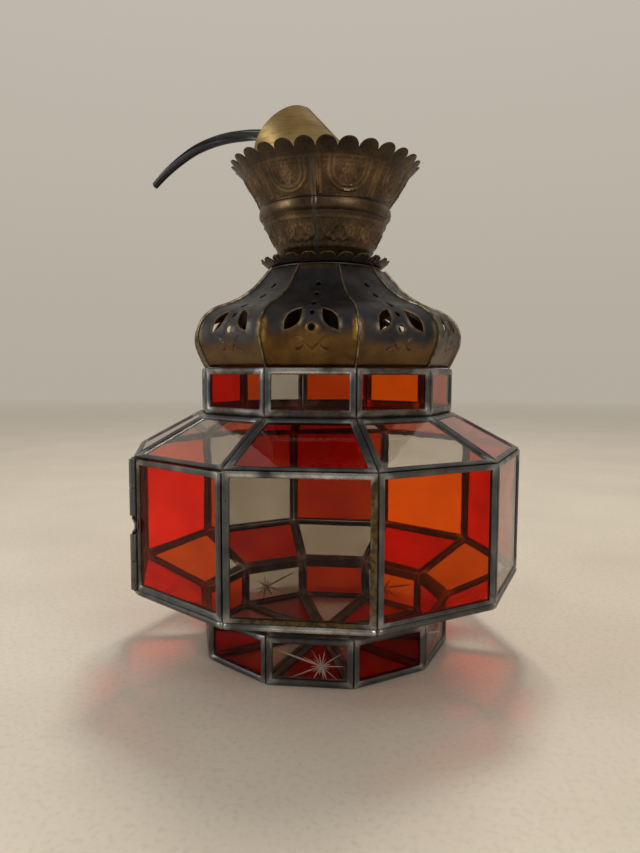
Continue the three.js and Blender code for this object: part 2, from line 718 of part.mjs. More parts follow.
const holderShell = ring(HOLDER_RADIUS - HOLDER_WALL, HOLDER_RADIUS, HOLDER_BOTTOM, CAP_BOTTOM - GAP);
const insulator = ring(INSULATOR_BORE_RADIUS, INSULATOR_RADIUS, INSULATOR_BOTTOM, INSULATOR_TOP);
const screwShellBore = SCREW_SHELL_RADIUS - SCREW_SHELL_SHEET;
const screwShell = ring(screwShellBore, SCREW_SHELL_RADIUS, SCREW_SHELL_BOTTOM, INSULATOR_BOTTOM - GAP);
place('threaded_tube', ring(TUBE_BORE_RADIUS, TUBE_RADIUS, TUBE_BOTTOM, TUBE_TOP), 'steel');
place('neck_nut', hexNut(NECK_PLATE_TOP + GAP), 'steel');
place('cord_grip', cordGrip(), 'black_plastic');
place('lampholder_cap', holderCap(), 'black_plastic');
place('lampholder_shell', holderShell, 'black_plastic');
place('lampholder_insulator', insulator, 'porcelain');
place('lamp_screw_shell', screwShell, 'brass');
place('centre_contact', ring(CONTACT_BORE_RADIUS, CONTACT_RADIUS, CONTACT_BOTTOM, CONTACT_TOP), 'brass');

place('ceiling_cup', ceilingCup(), 'brass');
place('cup_bushing', cupBushing(), 'black_plastic');
const flexLine = FLEX_ROUTE.map((point) => new THREE.Vector3(...point));
place('flex', tubeAlong(flexLine, FLEX_RADIUS, FLEX_SIDES, FLEX_STEPS), 'black_plastic');

export default lantern;
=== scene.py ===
import math

import bmesh
import bpy
import numpy as np
from mathutils import Matrix, Quaternion, Vector, geometry, noise


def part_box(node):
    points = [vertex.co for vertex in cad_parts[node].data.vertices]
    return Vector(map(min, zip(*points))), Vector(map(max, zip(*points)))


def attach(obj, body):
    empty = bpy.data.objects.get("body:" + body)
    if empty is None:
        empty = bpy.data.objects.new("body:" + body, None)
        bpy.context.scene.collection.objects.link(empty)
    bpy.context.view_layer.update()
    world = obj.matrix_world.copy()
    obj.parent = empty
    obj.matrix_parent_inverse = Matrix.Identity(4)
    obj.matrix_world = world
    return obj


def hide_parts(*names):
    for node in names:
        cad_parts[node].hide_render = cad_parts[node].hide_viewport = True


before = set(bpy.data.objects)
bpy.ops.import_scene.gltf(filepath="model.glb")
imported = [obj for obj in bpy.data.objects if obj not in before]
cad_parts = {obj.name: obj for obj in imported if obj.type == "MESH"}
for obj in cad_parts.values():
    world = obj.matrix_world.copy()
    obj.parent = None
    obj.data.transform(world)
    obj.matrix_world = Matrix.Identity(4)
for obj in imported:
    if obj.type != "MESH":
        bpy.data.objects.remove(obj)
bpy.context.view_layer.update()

# A ten-sided hanging lantern of leaded glass. Shapes are worked out in millimetres and meshes are made in
# metres. Facet 0 faces -Y, facet numbers grow towards +X, and corner k lies between facets k and k + 1.
MM = 0.001
SIDES = 10
FACET_ANGLE = 2 * math.pi / SIDES
HALF_TAN = math.tan(FACET_ANGLE / 2)
FLAT_PER_CORNER = math.cos(FACET_ANGLE / 2)

# The small lumps and waves in the cames, bars and seams follow this seed.
noise.seed_set(1)


def box_mm(node):
    low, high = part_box(node)
    return low / MM, high / MM


def facing(angle):
    """The outward and the sideways direction of a facet that is turned by an angle from the front."""
    return Vector((math.sin(angle), -math.cos(angle), 0)), Vector((math.cos(angle), math.sin(angle), 0))


# ---- Camera ----

LENS = 28.2893
SENSOR = 36.0
CAMERA_AT = Vector((0.05425, -0.52206, 0.20966))
CAMERA_HEADING = math.radians(6.3195)
CAMERA_TILT = math.radians(-4.5307)
CAMERA_ROLL = math.radians(0.1911)


def make_camera():
    """The camera looks along +Y, turned to the left by its heading, tilted upwards and rolled."""
    data = bpy.data.cameras.new("camera")
    data.sensor_width = SENSOR
    data.lens = LENS
    data.clip_start = 0.02
    camera = bpy.data.objects.new("camera", data)
    bpy.context.scene.collection.objects.link(camera)
    heading = Matrix.Rotation(CAMERA_HEADING, 4, "Z")
    tilt = Matrix.Rotation(math.pi / 2 + CAMERA_TILT, 4, "X")
    roll = Matrix.Rotation(CAMERA_ROLL, 4, "Z")
    camera.matrix_world = Matrix.Translation(CAMERA_AT) @ heading @ tilt @ roll
    bpy.context.scene.camera = camera


make_camera()


# ---- Colours and materials ----

def srgb(red, green, blue):
    """A linear colour from the 0 to 255 values that a screen shows."""
    def linear(value):
        share = value / 255
        return share / 12.92 if share <= 0.04045 else ((share + 0.055) / 1.055) ** 2.4

    return (linear(red), linear(green), linear(blue), 1.0)


class Nodes:
    """A node tree, with short ways to add nodes to it."""

    def __init__(self, tree):
        self.tree = tree

    def plug(self, socket, value):
        """Links a value that comes out of a node, or sets a plain one."""
        if isinstance(value, bpy.types.NodeSocket):
            self.tree.links.new(value, socket)
        else:
            socket.default_value = value

    def add(self, kind, inputs, **settings):
        node = self.tree.nodes.new(kind)
        for name, value in settings.items():
            setattr(node, name, value)
        for socket, value in inputs.items():
            self.plug(node.inputs[socket], value)
        return node

    def spread(self, value, low, high, start=0.0, end=1.0):
        """Maps low..high of a value to start..end, held between them."""
        inputs = {"Value": value, "From Min": low, "From Max": high, "To Min": start, "To Max": end}
        return self.add("ShaderNodeMapRange", inputs).outputs[0]


class Finish(Nodes):
    """A Principled material. Its textures read object coordinates in metres."""

    def __init__(self, name, colour, roughness, metallic=0.0, **plain):
        self.material = bpy.data.materials.new(name)
        self.material.use_nodes = True
        super().__init__(self.material.node_tree)
        self.shader = self.tree.nodes["Principled BSDF"]
        self.coordinates = self.add("ShaderNodeTexCoord", {}).outputs["Object"]
        self.set("Base Color", colour)
        self.set("Roughness", roughness)
        self.set("Metallic", metallic)
        for socket, value in plain.items():
            self.set(socket.replace("_", " "), value)

    def set(self, socket, value):
        self.plug(self.shader.inputs[socket], value)

    def grain(self, size_mm, detail=3.0, stretch=(1, 1, 1)):
        """Noise from 0 to 1 whose features are about size_mm across, drawn out along an axis by stretch."""
        scale = Vector([1 / s for s in stretch])
        mapping = self.add("ShaderNodeMapping", {"Vector": self.coordinates, "Scale": scale})
        settings = {"Vector": mapping.outputs[0], "Scale": 1 / (size_mm * MM), "Detail": detail}
        return self.add("ShaderNodeTexNoise", settings).outputs["Fac"]

    def attribute(self, name):
        return self.add("ShaderNodeAttribute", {}, attribute_name=name).outputs["Fac"]

    def calculate(self, operation, first, second, use_clamp=False):
        settings = {"operation": operation, "use_clamp": use_clamp}
        return self.add("ShaderNodeMath", {0: first, 1: second}, **settings).outputs[0]

    def mix(self, share, first, second):
        """A colour between two. A colour mix has its share at socket 0 and its colours at 6 and 7."""
        return self.add("ShaderNodeMix", {0: share, 6: first, 7: second}, data_type="RGBA").outputs[2]

    def blend(self, value, low, high, first, second):
        """One colour where a value is below low, another where it is above high."""
        return self.mix(self.spread(value, low, high), first, second)

    def roughen(self, value, smoothest, roughest):
        """Roughness that follows a noise."""
        self.set("Roughness", self.spread(value, 0.3, 0.7, smoothest, roughest))

    def bump(self, height, depth_mm, strength=0.6, below=None):
        inputs = {"Height": height, "Distance": depth_mm * MM, "Strength": strength}
        if below is not None:
            inputs["Normal"] = below
        return self.add("ShaderNodeBump", inputs).outputs[0]

    def mix_in(self, share, other):
        """Gives a share of the surface to another shader."""
        both = self.add("ShaderNodeMixShader", {0: share, 1: self.shader.outputs[0], 2: other.outputs[0]})
        self.plug(self.tree.nodes["Material Output"].inputs["Surface"], both.outputs[0])


def lead_finish():
    """Zinc came with a grey patina, bright where solder is and where a highlight is painted in the solder
    colour, and brown-gold where it is stained.
    """
    finish = Finish("lead_came", srgb(80, 82, 83), 0.4, metallic=0.85)
    cloud = finish.grain(18, 4)
    fine = finish.grain(2.4, 6)
    patina = finish.blend(cloud, 0.35, 0.65, srgb(68, 70, 73), srgb(94, 96, 97))
    patina = finish.blend(fine, 0.6, 0.78, patina, srgb(60, 55, 47))
    # The solder colour also paints highlights on the front cames and the front bar.
    solder = finish.blend(finish.grain(11, 3), 0.4, 0.7, srgb(196, 196, 195), srgb(138, 135, 127))
    stain = finish.blend(fine, 0.4, 0.6, srgb(104, 84, 48), srgb(62, 50, 32))
    colour = finish.mix(finish.attribute("stain"), patina, stain)
    finish.set("Base Color", finish.mix(finish.attribute("solder"), colour, solder))
    rough = finish.spread(finish.grain(3.4, 4), 0.3, 0.7, 0.32, 0.44)
    shine = finish.spread(finish.attribute("solder"), 0.0, 1.0, 1.0, 0.7)
    finish.set("Roughness", finish.calculate("MULTIPLY", rough, shine))
    finish.set("Normal", finish.bump(fine, 0.03, 0.4, finish.bump(cloud, 0.3, 0.3)))
    return finish.material


LEAST_IOR = 1.1
MOST_IOR = 1.5


def glass_finish(name, light, deep, tint):
    """Hand-made glass with a tone for each pane that also carries painted shade, a shine for each pane, faint
    waves and a little dirt.

    Lamps shine through it with its tint, so that what stands behind it is lit."""
    finish = Finish(name, light, 0.03, Transmission_Weight=1.0)
    finish.set("IOR", finish.spread(finish.attribute("shine"), 0.0, 1.0, LEAST_IOR, MOST_IOR))
    cloud = finish.spread(finish.grain(45, 3), 0.35, 0.65, -0.15, 0.15)
    # The pane's tone value also carries painted shade, deepening panes where shade lies behind them.
    tone = finish.calculate("ADD", finish.attribute("tone"), cloud, use_clamp=True)
    finish.set("Base Color", finish.mix(tone, light, deep))
    finish.set("Roughness", finish.spread(finish.grain(9, 6), 0.5, 0.8, 0.0, 0.05))
    finish.set("Normal", finish.bump(finish.grain(22, 2), 0.25, 0.35))
    shadow = finish.add("ShaderNodeLightPath", {}).outputs["Is Shadow Ray"]
    finish.mix_in(shadow, finish.add("ShaderNodeBsdfTransparent", {"Color": tint}))
    return finish.material


def dome_finish():
    """Brass under a blue-black patina that gives way to bronze on the skirt, fuller on the front gore as
    painted light. Gold shows on the rubbed rims of the holes, and as a painted highlight beside the seams and
    along the top edge.
    """
    finish = Finish("dome_patina", srgb(60, 60, 66), 0.4, metallic=0.9)
    cloud = finish.grain(18, 5)
    fine = finish.grain(2.2, 6)
    black = finish.blend(cloud, 0.35, 0.65, srgb(50, 52, 58), srgb(70, 67, 66))
    bronze = finish.blend(cloud, 0.4, 0.62, srgb(112, 84, 44), srgb(88, 62, 34))
    bronze = finish.blend(fine, 0.6, 0.8, bronze, srgb(60, 42, 24))
    # Gold: rubbed brass on the hole rims, and a painted highlight beside the seams and on the top edge.
    gold = finish.blend(fine, 0.4, 0.65, srgb(196, 158, 82), srgb(140, 104, 52))
    colour = finish.mix(finish.attribute("bronze"), black, bronze)
    finish.set("Base Color", finish.mix(finish.attribute("gold"), colour, gold))
    finish.roughen(finish.grain(5, 5), 0.34, 0.52)
    finish.set("Normal", finish.bump(fine, 0.08, 0.4, finish.bump(cloud, 0.6, 0.5)))
    return finish.material


def crown_finish():
    """Embossed brass, brown in the hollows and coppery where the relief has been rubbed, with painted glints
    on the bead and the punched ground.
    """
    finish = Finish("crown_patina", srgb(96, 70, 48), 0.4, metallic=0.9)
    cloud = finish.grain(16, 5)
    fine = finish.grain(1.2, 6)
    brown = finish.blend(cloud, 0.35, 0.65, srgb(70, 57, 44), srgb(54, 45, 37))
    brown = finish.blend(fine, 0.5, 0.75, brown, srgb(38, 31, 26))
    # Rubbed brass, also used for the painted glints on the bead and the stipple.
    rubbed_and_sheen_colour = finish.blend(cloud, 0.4, 0.6, srgb(156, 120, 84), srgb(120, 100, 64))
    tin = finish.blend(cloud, 0.4, 0.6, srgb(86, 86, 86), srgb(58, 57, 55))
    colour = finish.mix(finish.attribute("relief"), brown, rubbed_and_sheen_colour)
    finish.set("Base Color", finish.mix(finish.attribute("solder"), colour, tin))
    finish.roughen(finish.grain(4, 5), 0.28, 0.5)
    finish.set("Normal", finish.bump(fine, 0.18, 0.6, finish.bump(cloud, 0.6, 0.5)))
    return finish.material


def cup_finish():
    """Satin gold sheet, with fine scratches that run round the cup."""
    finish = Finish("cup_gold", srgb(178, 156, 104), 0.42, metallic=0.95)
    brushed = finish.grain(1.0, 4, (14, 14, 1))
    gold = finish.blend(finish.grain(16, 4), 0.35, 0.65, srgb(172, 150, 100), srgb(150, 124, 80))
    finish.set("Base Color", finish.blend(brushed, 0.5, 0.8, gold, srgb(130, 108, 70)))
    finish.roughen(brushed, 0.42, 0.56)
    finish.set("Normal", finish.bump(brushed, 0.05, 0.4))
    return finish.material


def metal_finish(name, bright, dull, grain, roughness, depth_mm, patches=(0.4, 0.65), metallic=0.95):
    """Plain metal with bright and dull patches. The grain is a size in mm and a detail."""
    finish = Finish(name, bright, roughness[0], metallic)
    fine = finish.grain(*grain)
    finish.set("Base Color", finish.blend(fine, *patches, bright, dull))
    finish.roughen(fine, *roughness)
    finish.set("Normal", finish.bump(fine, depth_mm, 0.4))
    return finish.material


def moulded_finish(name, colour, paler, roughness, depth_mm):
    """A moulded or glazed part: a slight texture, and a paler tone where it is worn or dusty."""
    finish = Finish(name, colour, roughness)
    fine = finish.grain(0.8, 4)
    finish.set("Base Color", finish.blend(finish.grain(12, 5), 0.5, 0.75, colour, paler))
    finish.roughen(fine, roughness * 0.85, roughness * 1.15)
    finish.set("Normal", finish.bump(fine, depth_mm, 0.4))
    return finish.material


LEAD = lead_finish()
RED_TINT = (0.9, 0.17, 0.07, 1.0)
CLEAR_TINT = (0.95, 0.95, 0.94, 1.0)
RED_GLASS = glass_finish("red_glass", (1.0, 0.12, 0.001, 1), (0.42, 0.012, 0.008, 1), RED_TINT)
CLEAR_GLASS = glass_finish("clear_glass", (0.82, 0.79, 0.735, 1), (0.5, 0.455, 0.4, 1), CLEAR_TINT)
CUT_GLASS = moulded_finish("frosted_cut", srgb(146, 139, 130), srgb(104, 97, 90), 0.25, 0.05)
DOME = dome_finish()
SEAM = metal_finish(
    "seam_brass", srgb(138, 128, 106), srgb(84, 76, 60), (5, 4), (0.36, 0.5), 0.08, (0.38, 0.66),
)
CROWN = crown_finish()
CUP = cup_finish()
STEEL = metal_finish(
    "zinc_plated_steel", srgb(186, 186, 182), srgb(120, 118, 112), (1.5, 5), (0.25, 0.45), 0.04,
)
DULL_STEEL = metal_finish("dull_steel", srgb(104, 104, 102), srgb(62, 60, 56), (1.5, 5), (0.25, 0.45), 0.04)
CONTACT = metal_finish(
    "contact_brass", srgb(212, 184, 110), srgb(160, 130, 70), (3, 5), (0.2, 0.4), 0.03, metallic=1.0,
)
BLACK = moulded_finish("black_plastic", srgb(26, 26, 27), srgb(44, 43, 41), 0.5, 0.04)
PORCELAIN = moulded_finish("porcelain", srgb(232, 228, 218), srgb(206, 198, 180), 0.22, 0.01)
SHEATH = moulded_finish("flex_sheath", srgb(10, 10, 12), srgb(20, 20, 23), 0.24, 0.01)


# ---- Meshes ----

def set_values(piece, **values):
    """Gives the points of a piece numbers that its material reads by name, from a list or all the same."""
    count = len(piece.data.vertices)
    for attribute, numbers in values.items():
        layer = piece.data.attributes.new(attribute, "FLOAT", "POINT")
        layer.data.foreach_set("value", np.full(count, numbers, np.float32))


def make_mesh(name, points, faces, material, sharp=35.0, **values):
    """A mesh object from points in millimetres, with further values for its points."""
    mesh = bpy.data.meshes.new(name)
    mesh.from_pydata([Vector(point) * MM for point in points], [], faces)
    shape = bmesh.new()
    shape.from_mesh(mesh)
    bmesh.ops.recalc_face_normals(shape, faces=shape.faces)
    shape.to_mesh(mesh)
    shape.free()
    mesh.polygons.foreach_set("use_smooth", [True] * len(mesh.polygons))
    mesh.set_sharp_from_angle(angle=math.radians(sharp))
    mesh.materials.append(material)
    piece = bpy.data.objects.new(name, mesh)
    bpy.context.scene.collection.objects.link(piece)
    set_values(piece, **values)
    return piece


def thicken(piece, thickness_mm, offset):
    """Turns a surface into sheet, inwards with an offset of -1 and outwards with 1."""
    sheet = piece.modifiers.new("sheet", "SOLIDIFY")
    sheet.thickness = thickness_mm * MM
    sheet.offset = offset


def belongs(piece, body, slot, *nodes):
    """The piece rides on a body and stands for CAD nodes, whose parts it hides. The slot is not used."""
    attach(piece, body)
    if nodes:
        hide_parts(*nodes)
    return piece


def grid_faces(rows, columns, close_rows=False, close_columns=False):
    """Quads over points laid out row by row."""
    faces = []
    for row in range(rows if close_rows else rows - 1):
        below = (row + 1) % rows * columns
        for column in range(columns if close_columns else columns - 1):
            beside = (column + 1) % columns
            faces.append((row * columns + column, row * columns + beside, below + beside, below + column))
    return faces


def bar_faces(rows, columns):
    """Faces of a bar whose cross-sections are laid out row by row, closed at both ends."""
    start = list(range(columns))
    end = [(rows - 1) * columns + k for k in reversed(start)]
    return grid_faces(rows, columns, False, True) + [start, end]


def circle(radius, count, squash=1.0):
    """Points evenly round a circle, or round an ellipse when it is squashed."""
    angles = [2 * math.pi * k / count for k in range(count)]
    return [(radius * math.cos(a), radius * squash * math.sin(a)) for a in angles]


def ring_outline(inner, outer, low, high):
    return [(inner, low), (outer, low), (outer, high), (inner, high)]


def wobble(point, size, amount, seed=0.0):
    """A small smooth push, up to amount, that changes over a distance of size."""
    return noise.noise_vector(point / size + Vector((seed, 0.37 * seed, 1.7 * seed))) * amount


def smooth_step(low, high, value):
    share = min(1.0, max(0.0, (value - low) / (high - low)))
    return share * share * (3 - 2 * share)


def spline(points, count):
    """Points evenly numbered along a Catmull-Rom curve through the given ones."""
    points = [Vector(point) for point in points]
    last = len(points) - 1
    found = []
    for i in range(count):
        place = i / (count - 1) * last
        k = min(int(place), last - 1)
        t = place - k
        before = points[k - 1] if k > 0 else points[0] * 2 - points[1]
        after = points[k + 2] if k + 2 <= last else points[last] * 2 - points[last - 1]
        a, b = points[k], points[k + 1]
        bend = (before * 2 - a * 5 + b * 4 - after) * t * t
        twist = (a * 3 - before - b * 3 + after) * t * t * t
        found.append((a * 2 + (b - before) * t + bend + twist) / 2)
    return found


def lathe(name, outline, material, segments, place=None, sharp=50):
    """A closed outline of (radius, height) turned about Z, then put in place by a matrix."""
    points = []
    for i in range(segments):
        angle = 2 * math.pi * i / segments
        for radius, height in outline:
            point = Vector((radius * math.cos(angle), radius * math.sin(angle), height))
            points.append(place @ point if place else point)
    return make_mesh(name, points, grid_faces(segments, len(outline), True, True), material, sharp)


CORNER_STEPS = 3


def rounded(outline, radius):
    """A closed outline with each corner rounded off to at most a radius."""
    count = len(outline)
    found = []
    for i in range(count):
        corner = Vector(outline[i])
        before = Vector(outline[i - 1]) - corner
        after = Vector(outline[(i + 1) % count]) - corner
        reach = min(radius, before.length * 0.45, after.length * 0.45)
        start = corner + before.normalized() * reach
        end = corner + after.normalized() * reach
        for k in range(CORNER_STEPS + 1):
            t = k / CORNER_STEPS
            found.append(tuple(start * (1 - t) ** 2 + corner * 2 * t * (1 - t) + end * t * t))
    return found


NOSE_LENGTH = 0.35
NOSE_WIDTH = 0.7


def sweep(name, line, section, material, normal, twist=0.0):
    """A section of (across, up) points carried along a line, with round-nosed ends."""
    count, columns = len(line), len(section)
    points = []
    up = Vector(normal)
    for i, point in enumerate(line):
        ahead = line[min(i + 1, count - 1)] - line[max(i - 1, 0)]
        forward = ahead.normalized()
        up = (up - forward * up.dot(forward)).normalized()
        turned_up = Quaternion(forward, twist * i / (count - 1)) @ up
        across = forward.cross(turned_up)
        points += [point + across * x + turned_up * y for x, y in section]
    faces = grid_faces(count, columns, False, True)
    for start, outwards in ((0, line[0] - line[1]), ((count - 1) * columns, line[-1] - line[-2])):
        nose = outwards.normalized() * max(abs(y) for _, y in section) * NOSE_LENGTH
        middle = sum(points[start:start + columns], Vector((0, 0, 0))) / columns
        base = len(points)
        points += [middle + (point - middle) * NOSE_WIDTH + nose for point in points[start:start + columns]]
        points.append(middle + nose * 1.2)
        for k in range(columns):
            beside = (k + 1) % columns
            faces.append((start + k, start + beside, base + beside, base + k))
            faces.append((base + k, base + beside, base + columns))
    return make_mesh(name, points, faces, material, 50)


# ---- Flex and ceiling cup ----

FLEX_RADIUS = 4.3
FLEX_ROUTE = [
    (0, 0, 0.2993),
    (0, 0, 0.301),
    (0.0004, -0.0008, 0.3079),
    (0.0015, -0.0038, 0.3176),
    (0.0015, -0.009, 0.3312),
    (-0.001, -0.012, 0.346),
    (-0.0041, -0.0122, 0.3559),
    (-0.0091, -0.0103, 0.3665),
    (-0.018, -0.0053, 0.3787),
    (-0.0324, 0.0032, 0.3896),
    (-0.0445, 0.0105, 0.3948),
    (-0.0573, 0.017, 0.3979),
    (-0.0675, 0.021, 0.399),
    (-0.082, 0.025, 0.399),
    (-0.0969, 0.029, 0.397),
    (-0.1117, 0.032, 0.3923),
    (-0.126, 0.0345, 0.3844),
    (-0.1382, 0.036, 0.3754),
    (-0.148, 0.037, 0.3662),
]
CUP_RADIUS = 28
CUP_LENGTH = 46
CUP_SHEET = 1.0
CUP_FLOOR_CENTRE = Vector((-3.4, -12.4, 355.8))
CUP_AXIS = Vector((-0.622, 0.301, 0.723)).normalized()
BUSHING_RADIUS = 8.3
BUSHING_BORE = 6.8
FLANGE_REACH = 2.2
FLANGE_THICKNESS = 1.4
GAP = 0.3


def twin_section(half_width, core):
    """The figure-of-eight section of a twin flex: two round cores side by side."""
    points = []
    reach = half_width - core
    for i in range(32):
        angle = 2 * math.pi * (i + 0.5) / 32
        across = math.copysign(reach, math.cos(angle)) + core * math.cos(angle)
        waist = smooth_step(0.0, 0.45, abs(math.cos(angle)))
        points.append((across, core * math.sin(angle) * (0.62 + 0.38 * waist)))
    return points


def make_flex():
    route = [Vector(point) / MM for point in FLEX_ROUTE]
    line = spline(route, 150)
    section = twin_section(FLEX_RADIUS, FLEX_RADIUS * 0.55)
    return sweep("twin_flex", line, section, SHEATH, (0, 1, 0.2), twist=math.radians(205))


def cup_place():
    turn = Vector((0, 0, 1)).rotation_difference(CUP_AXIS)
    return Matrix.Translation(CUP_FLOOR_CENTRE) @ turn.to_matrix().to_4x4()


def make_cup():
    """A drawn cup with a rolled rim. Its lapped side strip is made separately."""
    hole = BUSHING_RADIUS + GAP
    inner = CUP_RADIUS - CUP_SHEET
    outline = [
        (hole, 0.0),
        (CUP_RADIUS - 2.2, 0.0),
        (CUP_RADIUS - 0.75, 0.5),
        (CUP_RADIUS - 0.1, 2.0),
        (CUP_RADIUS - 0.1, 12.0),
        (CUP_RADIUS - 0.1, 24.0),
        (CUP_RADIUS - 0.1, 36.0),
        (CUP_RADIUS, CUP_LENGTH - 0.8),
        (CUP_RADIUS - 0.3, CUP_LENGTH),
        (inner + 0.2, CUP_LENGTH),
        (inner, CUP_LENGTH - 0.6),
        (inner, 3.0),
        (inner - 1.2, CUP_SHEET + 0.4),
        (inner - 2.6, CUP_SHEET),
        (hole, CUP_SHEET),
    ]
    return lathe("ceiling_cup_shell", outline, CUP, 96, cup_place())


LAP_WIDTH = 4.5
LAP_RISE = 0.6
LAP_SIDE = Vector((0.86, -0.36, 0.45))


def make_cup_lap():
    """The lapped edge that closes the cup's side: a narrow raised strip from the floor to the rim."""
    out = (LAP_SIDE - CUP_AXIS * LAP_SIDE.dot(CUP_AXIS)).normalized()
    across = CUP_AXIS.cross(out)
    section = [(-0.5, 0.0), (-0.5, 0.55), (-0.38, 1.0), (-0.2, 0.45)]
    section += [(-x, y) for x, y in reversed(section)]
    points = []
    rows = 24
    for row in range(rows):
        along = 2.5 + (CUP_LENGTH - 3.0) * row / (rows - 1)
        for x, y in section:
            angle = x * LAP_WIDTH / CUP_RADIUS
            reach = CUP_RADIUS - 0.2 + LAP_RISE * y
            ray = out * math.cos(angle) + across * math.sin(angle)
            points.append(CUP_FLOOR_CENTRE + CUP_AXIS * along + ray * reach)
    return make_mesh("ceiling_cup_lap", points, bar_faces(rows, len(section)), CUP, 30)


def make_bushing():
    flange = BUSHING_RADIUS + FLANGE_REACH
    outline = rounded([
        (BUSHING_BORE, -GAP - FLANGE_THICKNESS),
        (flange, -GAP - FLANGE_THICKNESS),
        (flange, -GAP),
        (BUSHING_RADIUS, -GAP),
        (BUSHING_RADIUS, CUP_SHEET + 1),
        (BUSHING_BORE, CUP_SHEET + 1),
    ], 0.4)
    return lathe("cup_grommet", outline, BLACK, 48, cup_place())


cup = belongs(make_cup(), "body", "cup_brass", "ceiling_cup")
lap = belongs(make_cup_lap(), "body", "cup_brass", "ceiling_cup")
bushing = belongs(make_bushing(), "body", "black_plastic", "cup_bushing")
flex = belongs(make_flex(), "body", "flex_sheath", "flex")


# ---- Floor and light ----

BACKDROP = srgb(196, 187, 172)
BACKDROP_ABOVE = srgb(220, 213, 202)
ROOM_FRONT = 0.35
ROOM_BACK = 0.82


def room_glow(nodes, direction):
    """Height and strength of the backdrop, which is dimmer towards -Y, as the unlit side of a room is."""
    split = nodes.add("ShaderNodeSeparateXYZ", {0: direction}).outputs
    return split["Z"], nodes.spread(split["Y"], -0.8, 0.5, ROOM_FRONT, ROOM_BACK)


def fade_into_backdrop(finish):
    """Far from the lantern the floor takes on the glow of the backdrop, so that no edge shows."""
    place = {0: finish.coordinates}
    away = finish.add("ShaderNodeVectorMath", place, operation="LENGTH").outputs["Value"]
    heading = finish.add("ShaderNodeVectorMath", place, operation="NORMALIZE").outputs["Vector"]
    _, strength = room_glow(finish, heading)
    glow = finish.add("ShaderNodeEmission", {"Color": BACKDROP, "Strength": strength})
    finish.mix_in(finish.spread(away, 0.8, 5.0), glow)


FLOOR_RINGS = [0.0, 0.5, 1.0, 2.0, 4.0, 8.0, 16.0, 30.0]
FLOOR_SEGMENTS = 48
FLOOR_LEVEL = -0.0002


def make_floor():
    """A wide pale floor, with rings of points in metres."""
    points = []
    for ring in FLOOR_RINGS:
        points += [Vector((x, y, FLOOR_LEVEL)) / MM for x, y in circle(ring, FLOOR_SEGMENTS)]
    finish = Finish("studio_floor", srgb(214, 206, 192), 0.55)
    grain = finish.grain(4, 4)
    tile = finish.blend(finish.grain(160, 4), 0.35, 0.65, srgb(204, 195, 180), srgb(196, 187, 172))
    finish.set("Base Color", finish.blend(grain, 0.5, 0.9, tile, srgb(184, 175, 160)))
    finish.roughen(grain, 0.42, 0.6)
    finish.set("Normal", finish.bump(grain, 0.05, 0.3))
    fade_into_backdrop(finish)
    faces = grid_faces(len(FLOOR_RINGS), FLOOR_SEGMENTS, False, True)
    make_mesh("floor", points, faces, finish.material)


def make_world():
    world = bpy.data.worlds.new("studio")
    world.use_nodes = True
    nodes = Nodes(world.node_tree)
    direction = nodes.add("ShaderNodeTexCoord", {}).outputs["Generated"]
    height, strength = room_glow(nodes, direction)
    ramp = nodes.add("ShaderNodeValToRGB", {0: height})
    low, high = ramp.color_ramp.elements
    low.color = BACKDROP
    high.color = BACKDROP_ABOVE
    low.position = 0.0
    high.position = 0.9
    backdrop = nodes.tree.nodes["Background"]
    nodes.plug(backdrop.inputs["Color"], ramp.outputs[0])
    nodes.plug(backdrop.inputs["Strength"], strength)
    bpy.context.scene.world = world


def add_softbox(name, at, towards, size, power, colour):
    data = bpy.data.lights.new(name, "AREA")
    data.shape = "RECTANGLE"
    data.size = size[0]
    data.size_y = size[1]
    data.energy = power
    data.color = colour
    light = bpy.data.objects.new(name, data)
    bpy.context.scene.collection.objects.link(light)
    light.location = at
    light.rotation_mode = "QUATERNION"
    light.rotation_quaternion = (Vector(towards) - Vector(at)).to_track_quat("-Z", "Y")
    return light


def light_the_set():
    middle = (0, 0, 0.2)
    key = add_softbox("key", (0.05, 1.1, 2.6), middle, (0.5, 0.5), 44, (1.0, 0.96, 0.9))
    key.visible_glossy = False
    key.visible_transmission = False
    add_softbox("front", (0.75, -1.1, 0.85), middle, (0.6, 0.8), 7, (1.0, 0.97, 0.93))
    add_softbox("side", (-1.1, -0.5, 0.6), middle, (0.4, 0.9), 5, (0.93, 0.96, 1.0))
    bpy.context.scene.view_settings.view_transform = "Standard"


make_floor()
make_world()
light_the_set()


# ---- Facets of the glass body ----

MITRE_SETBACK = 0.2
CAME_FACE = 4.8
PANE_INSET = 3.9
PANE_OUTER = 1.1
PANE_INNER = 2.7
PANE_CELL = 5.0

BASE_RADIUS = box_mm("lower_tier_cames")[1].x
MAIN_RADIUS = box_mm("main_tier_cames")[1].x
NECK_RADIUS = box_mm("upper_tier_cames")[1].x
LOWER_TIER_TOP = box_mm("lower_tier_cames")[1].z + MITRE_SETBACK
MAIN_BOTTOM = box_mm("main_tier_cames")[0].z - MITRE_SETBACK
MAIN_TOP = box_mm("main_tier_cames")[1].z + MITRE_SETBACK
SHOULDER_TOP = box_mm("upper_tier_cames")[0].z - MITRE_SETBACK
UPPER_TIER_TOP = box_mm("upper_tier_cames")[1].z + MITRE_SETBACK

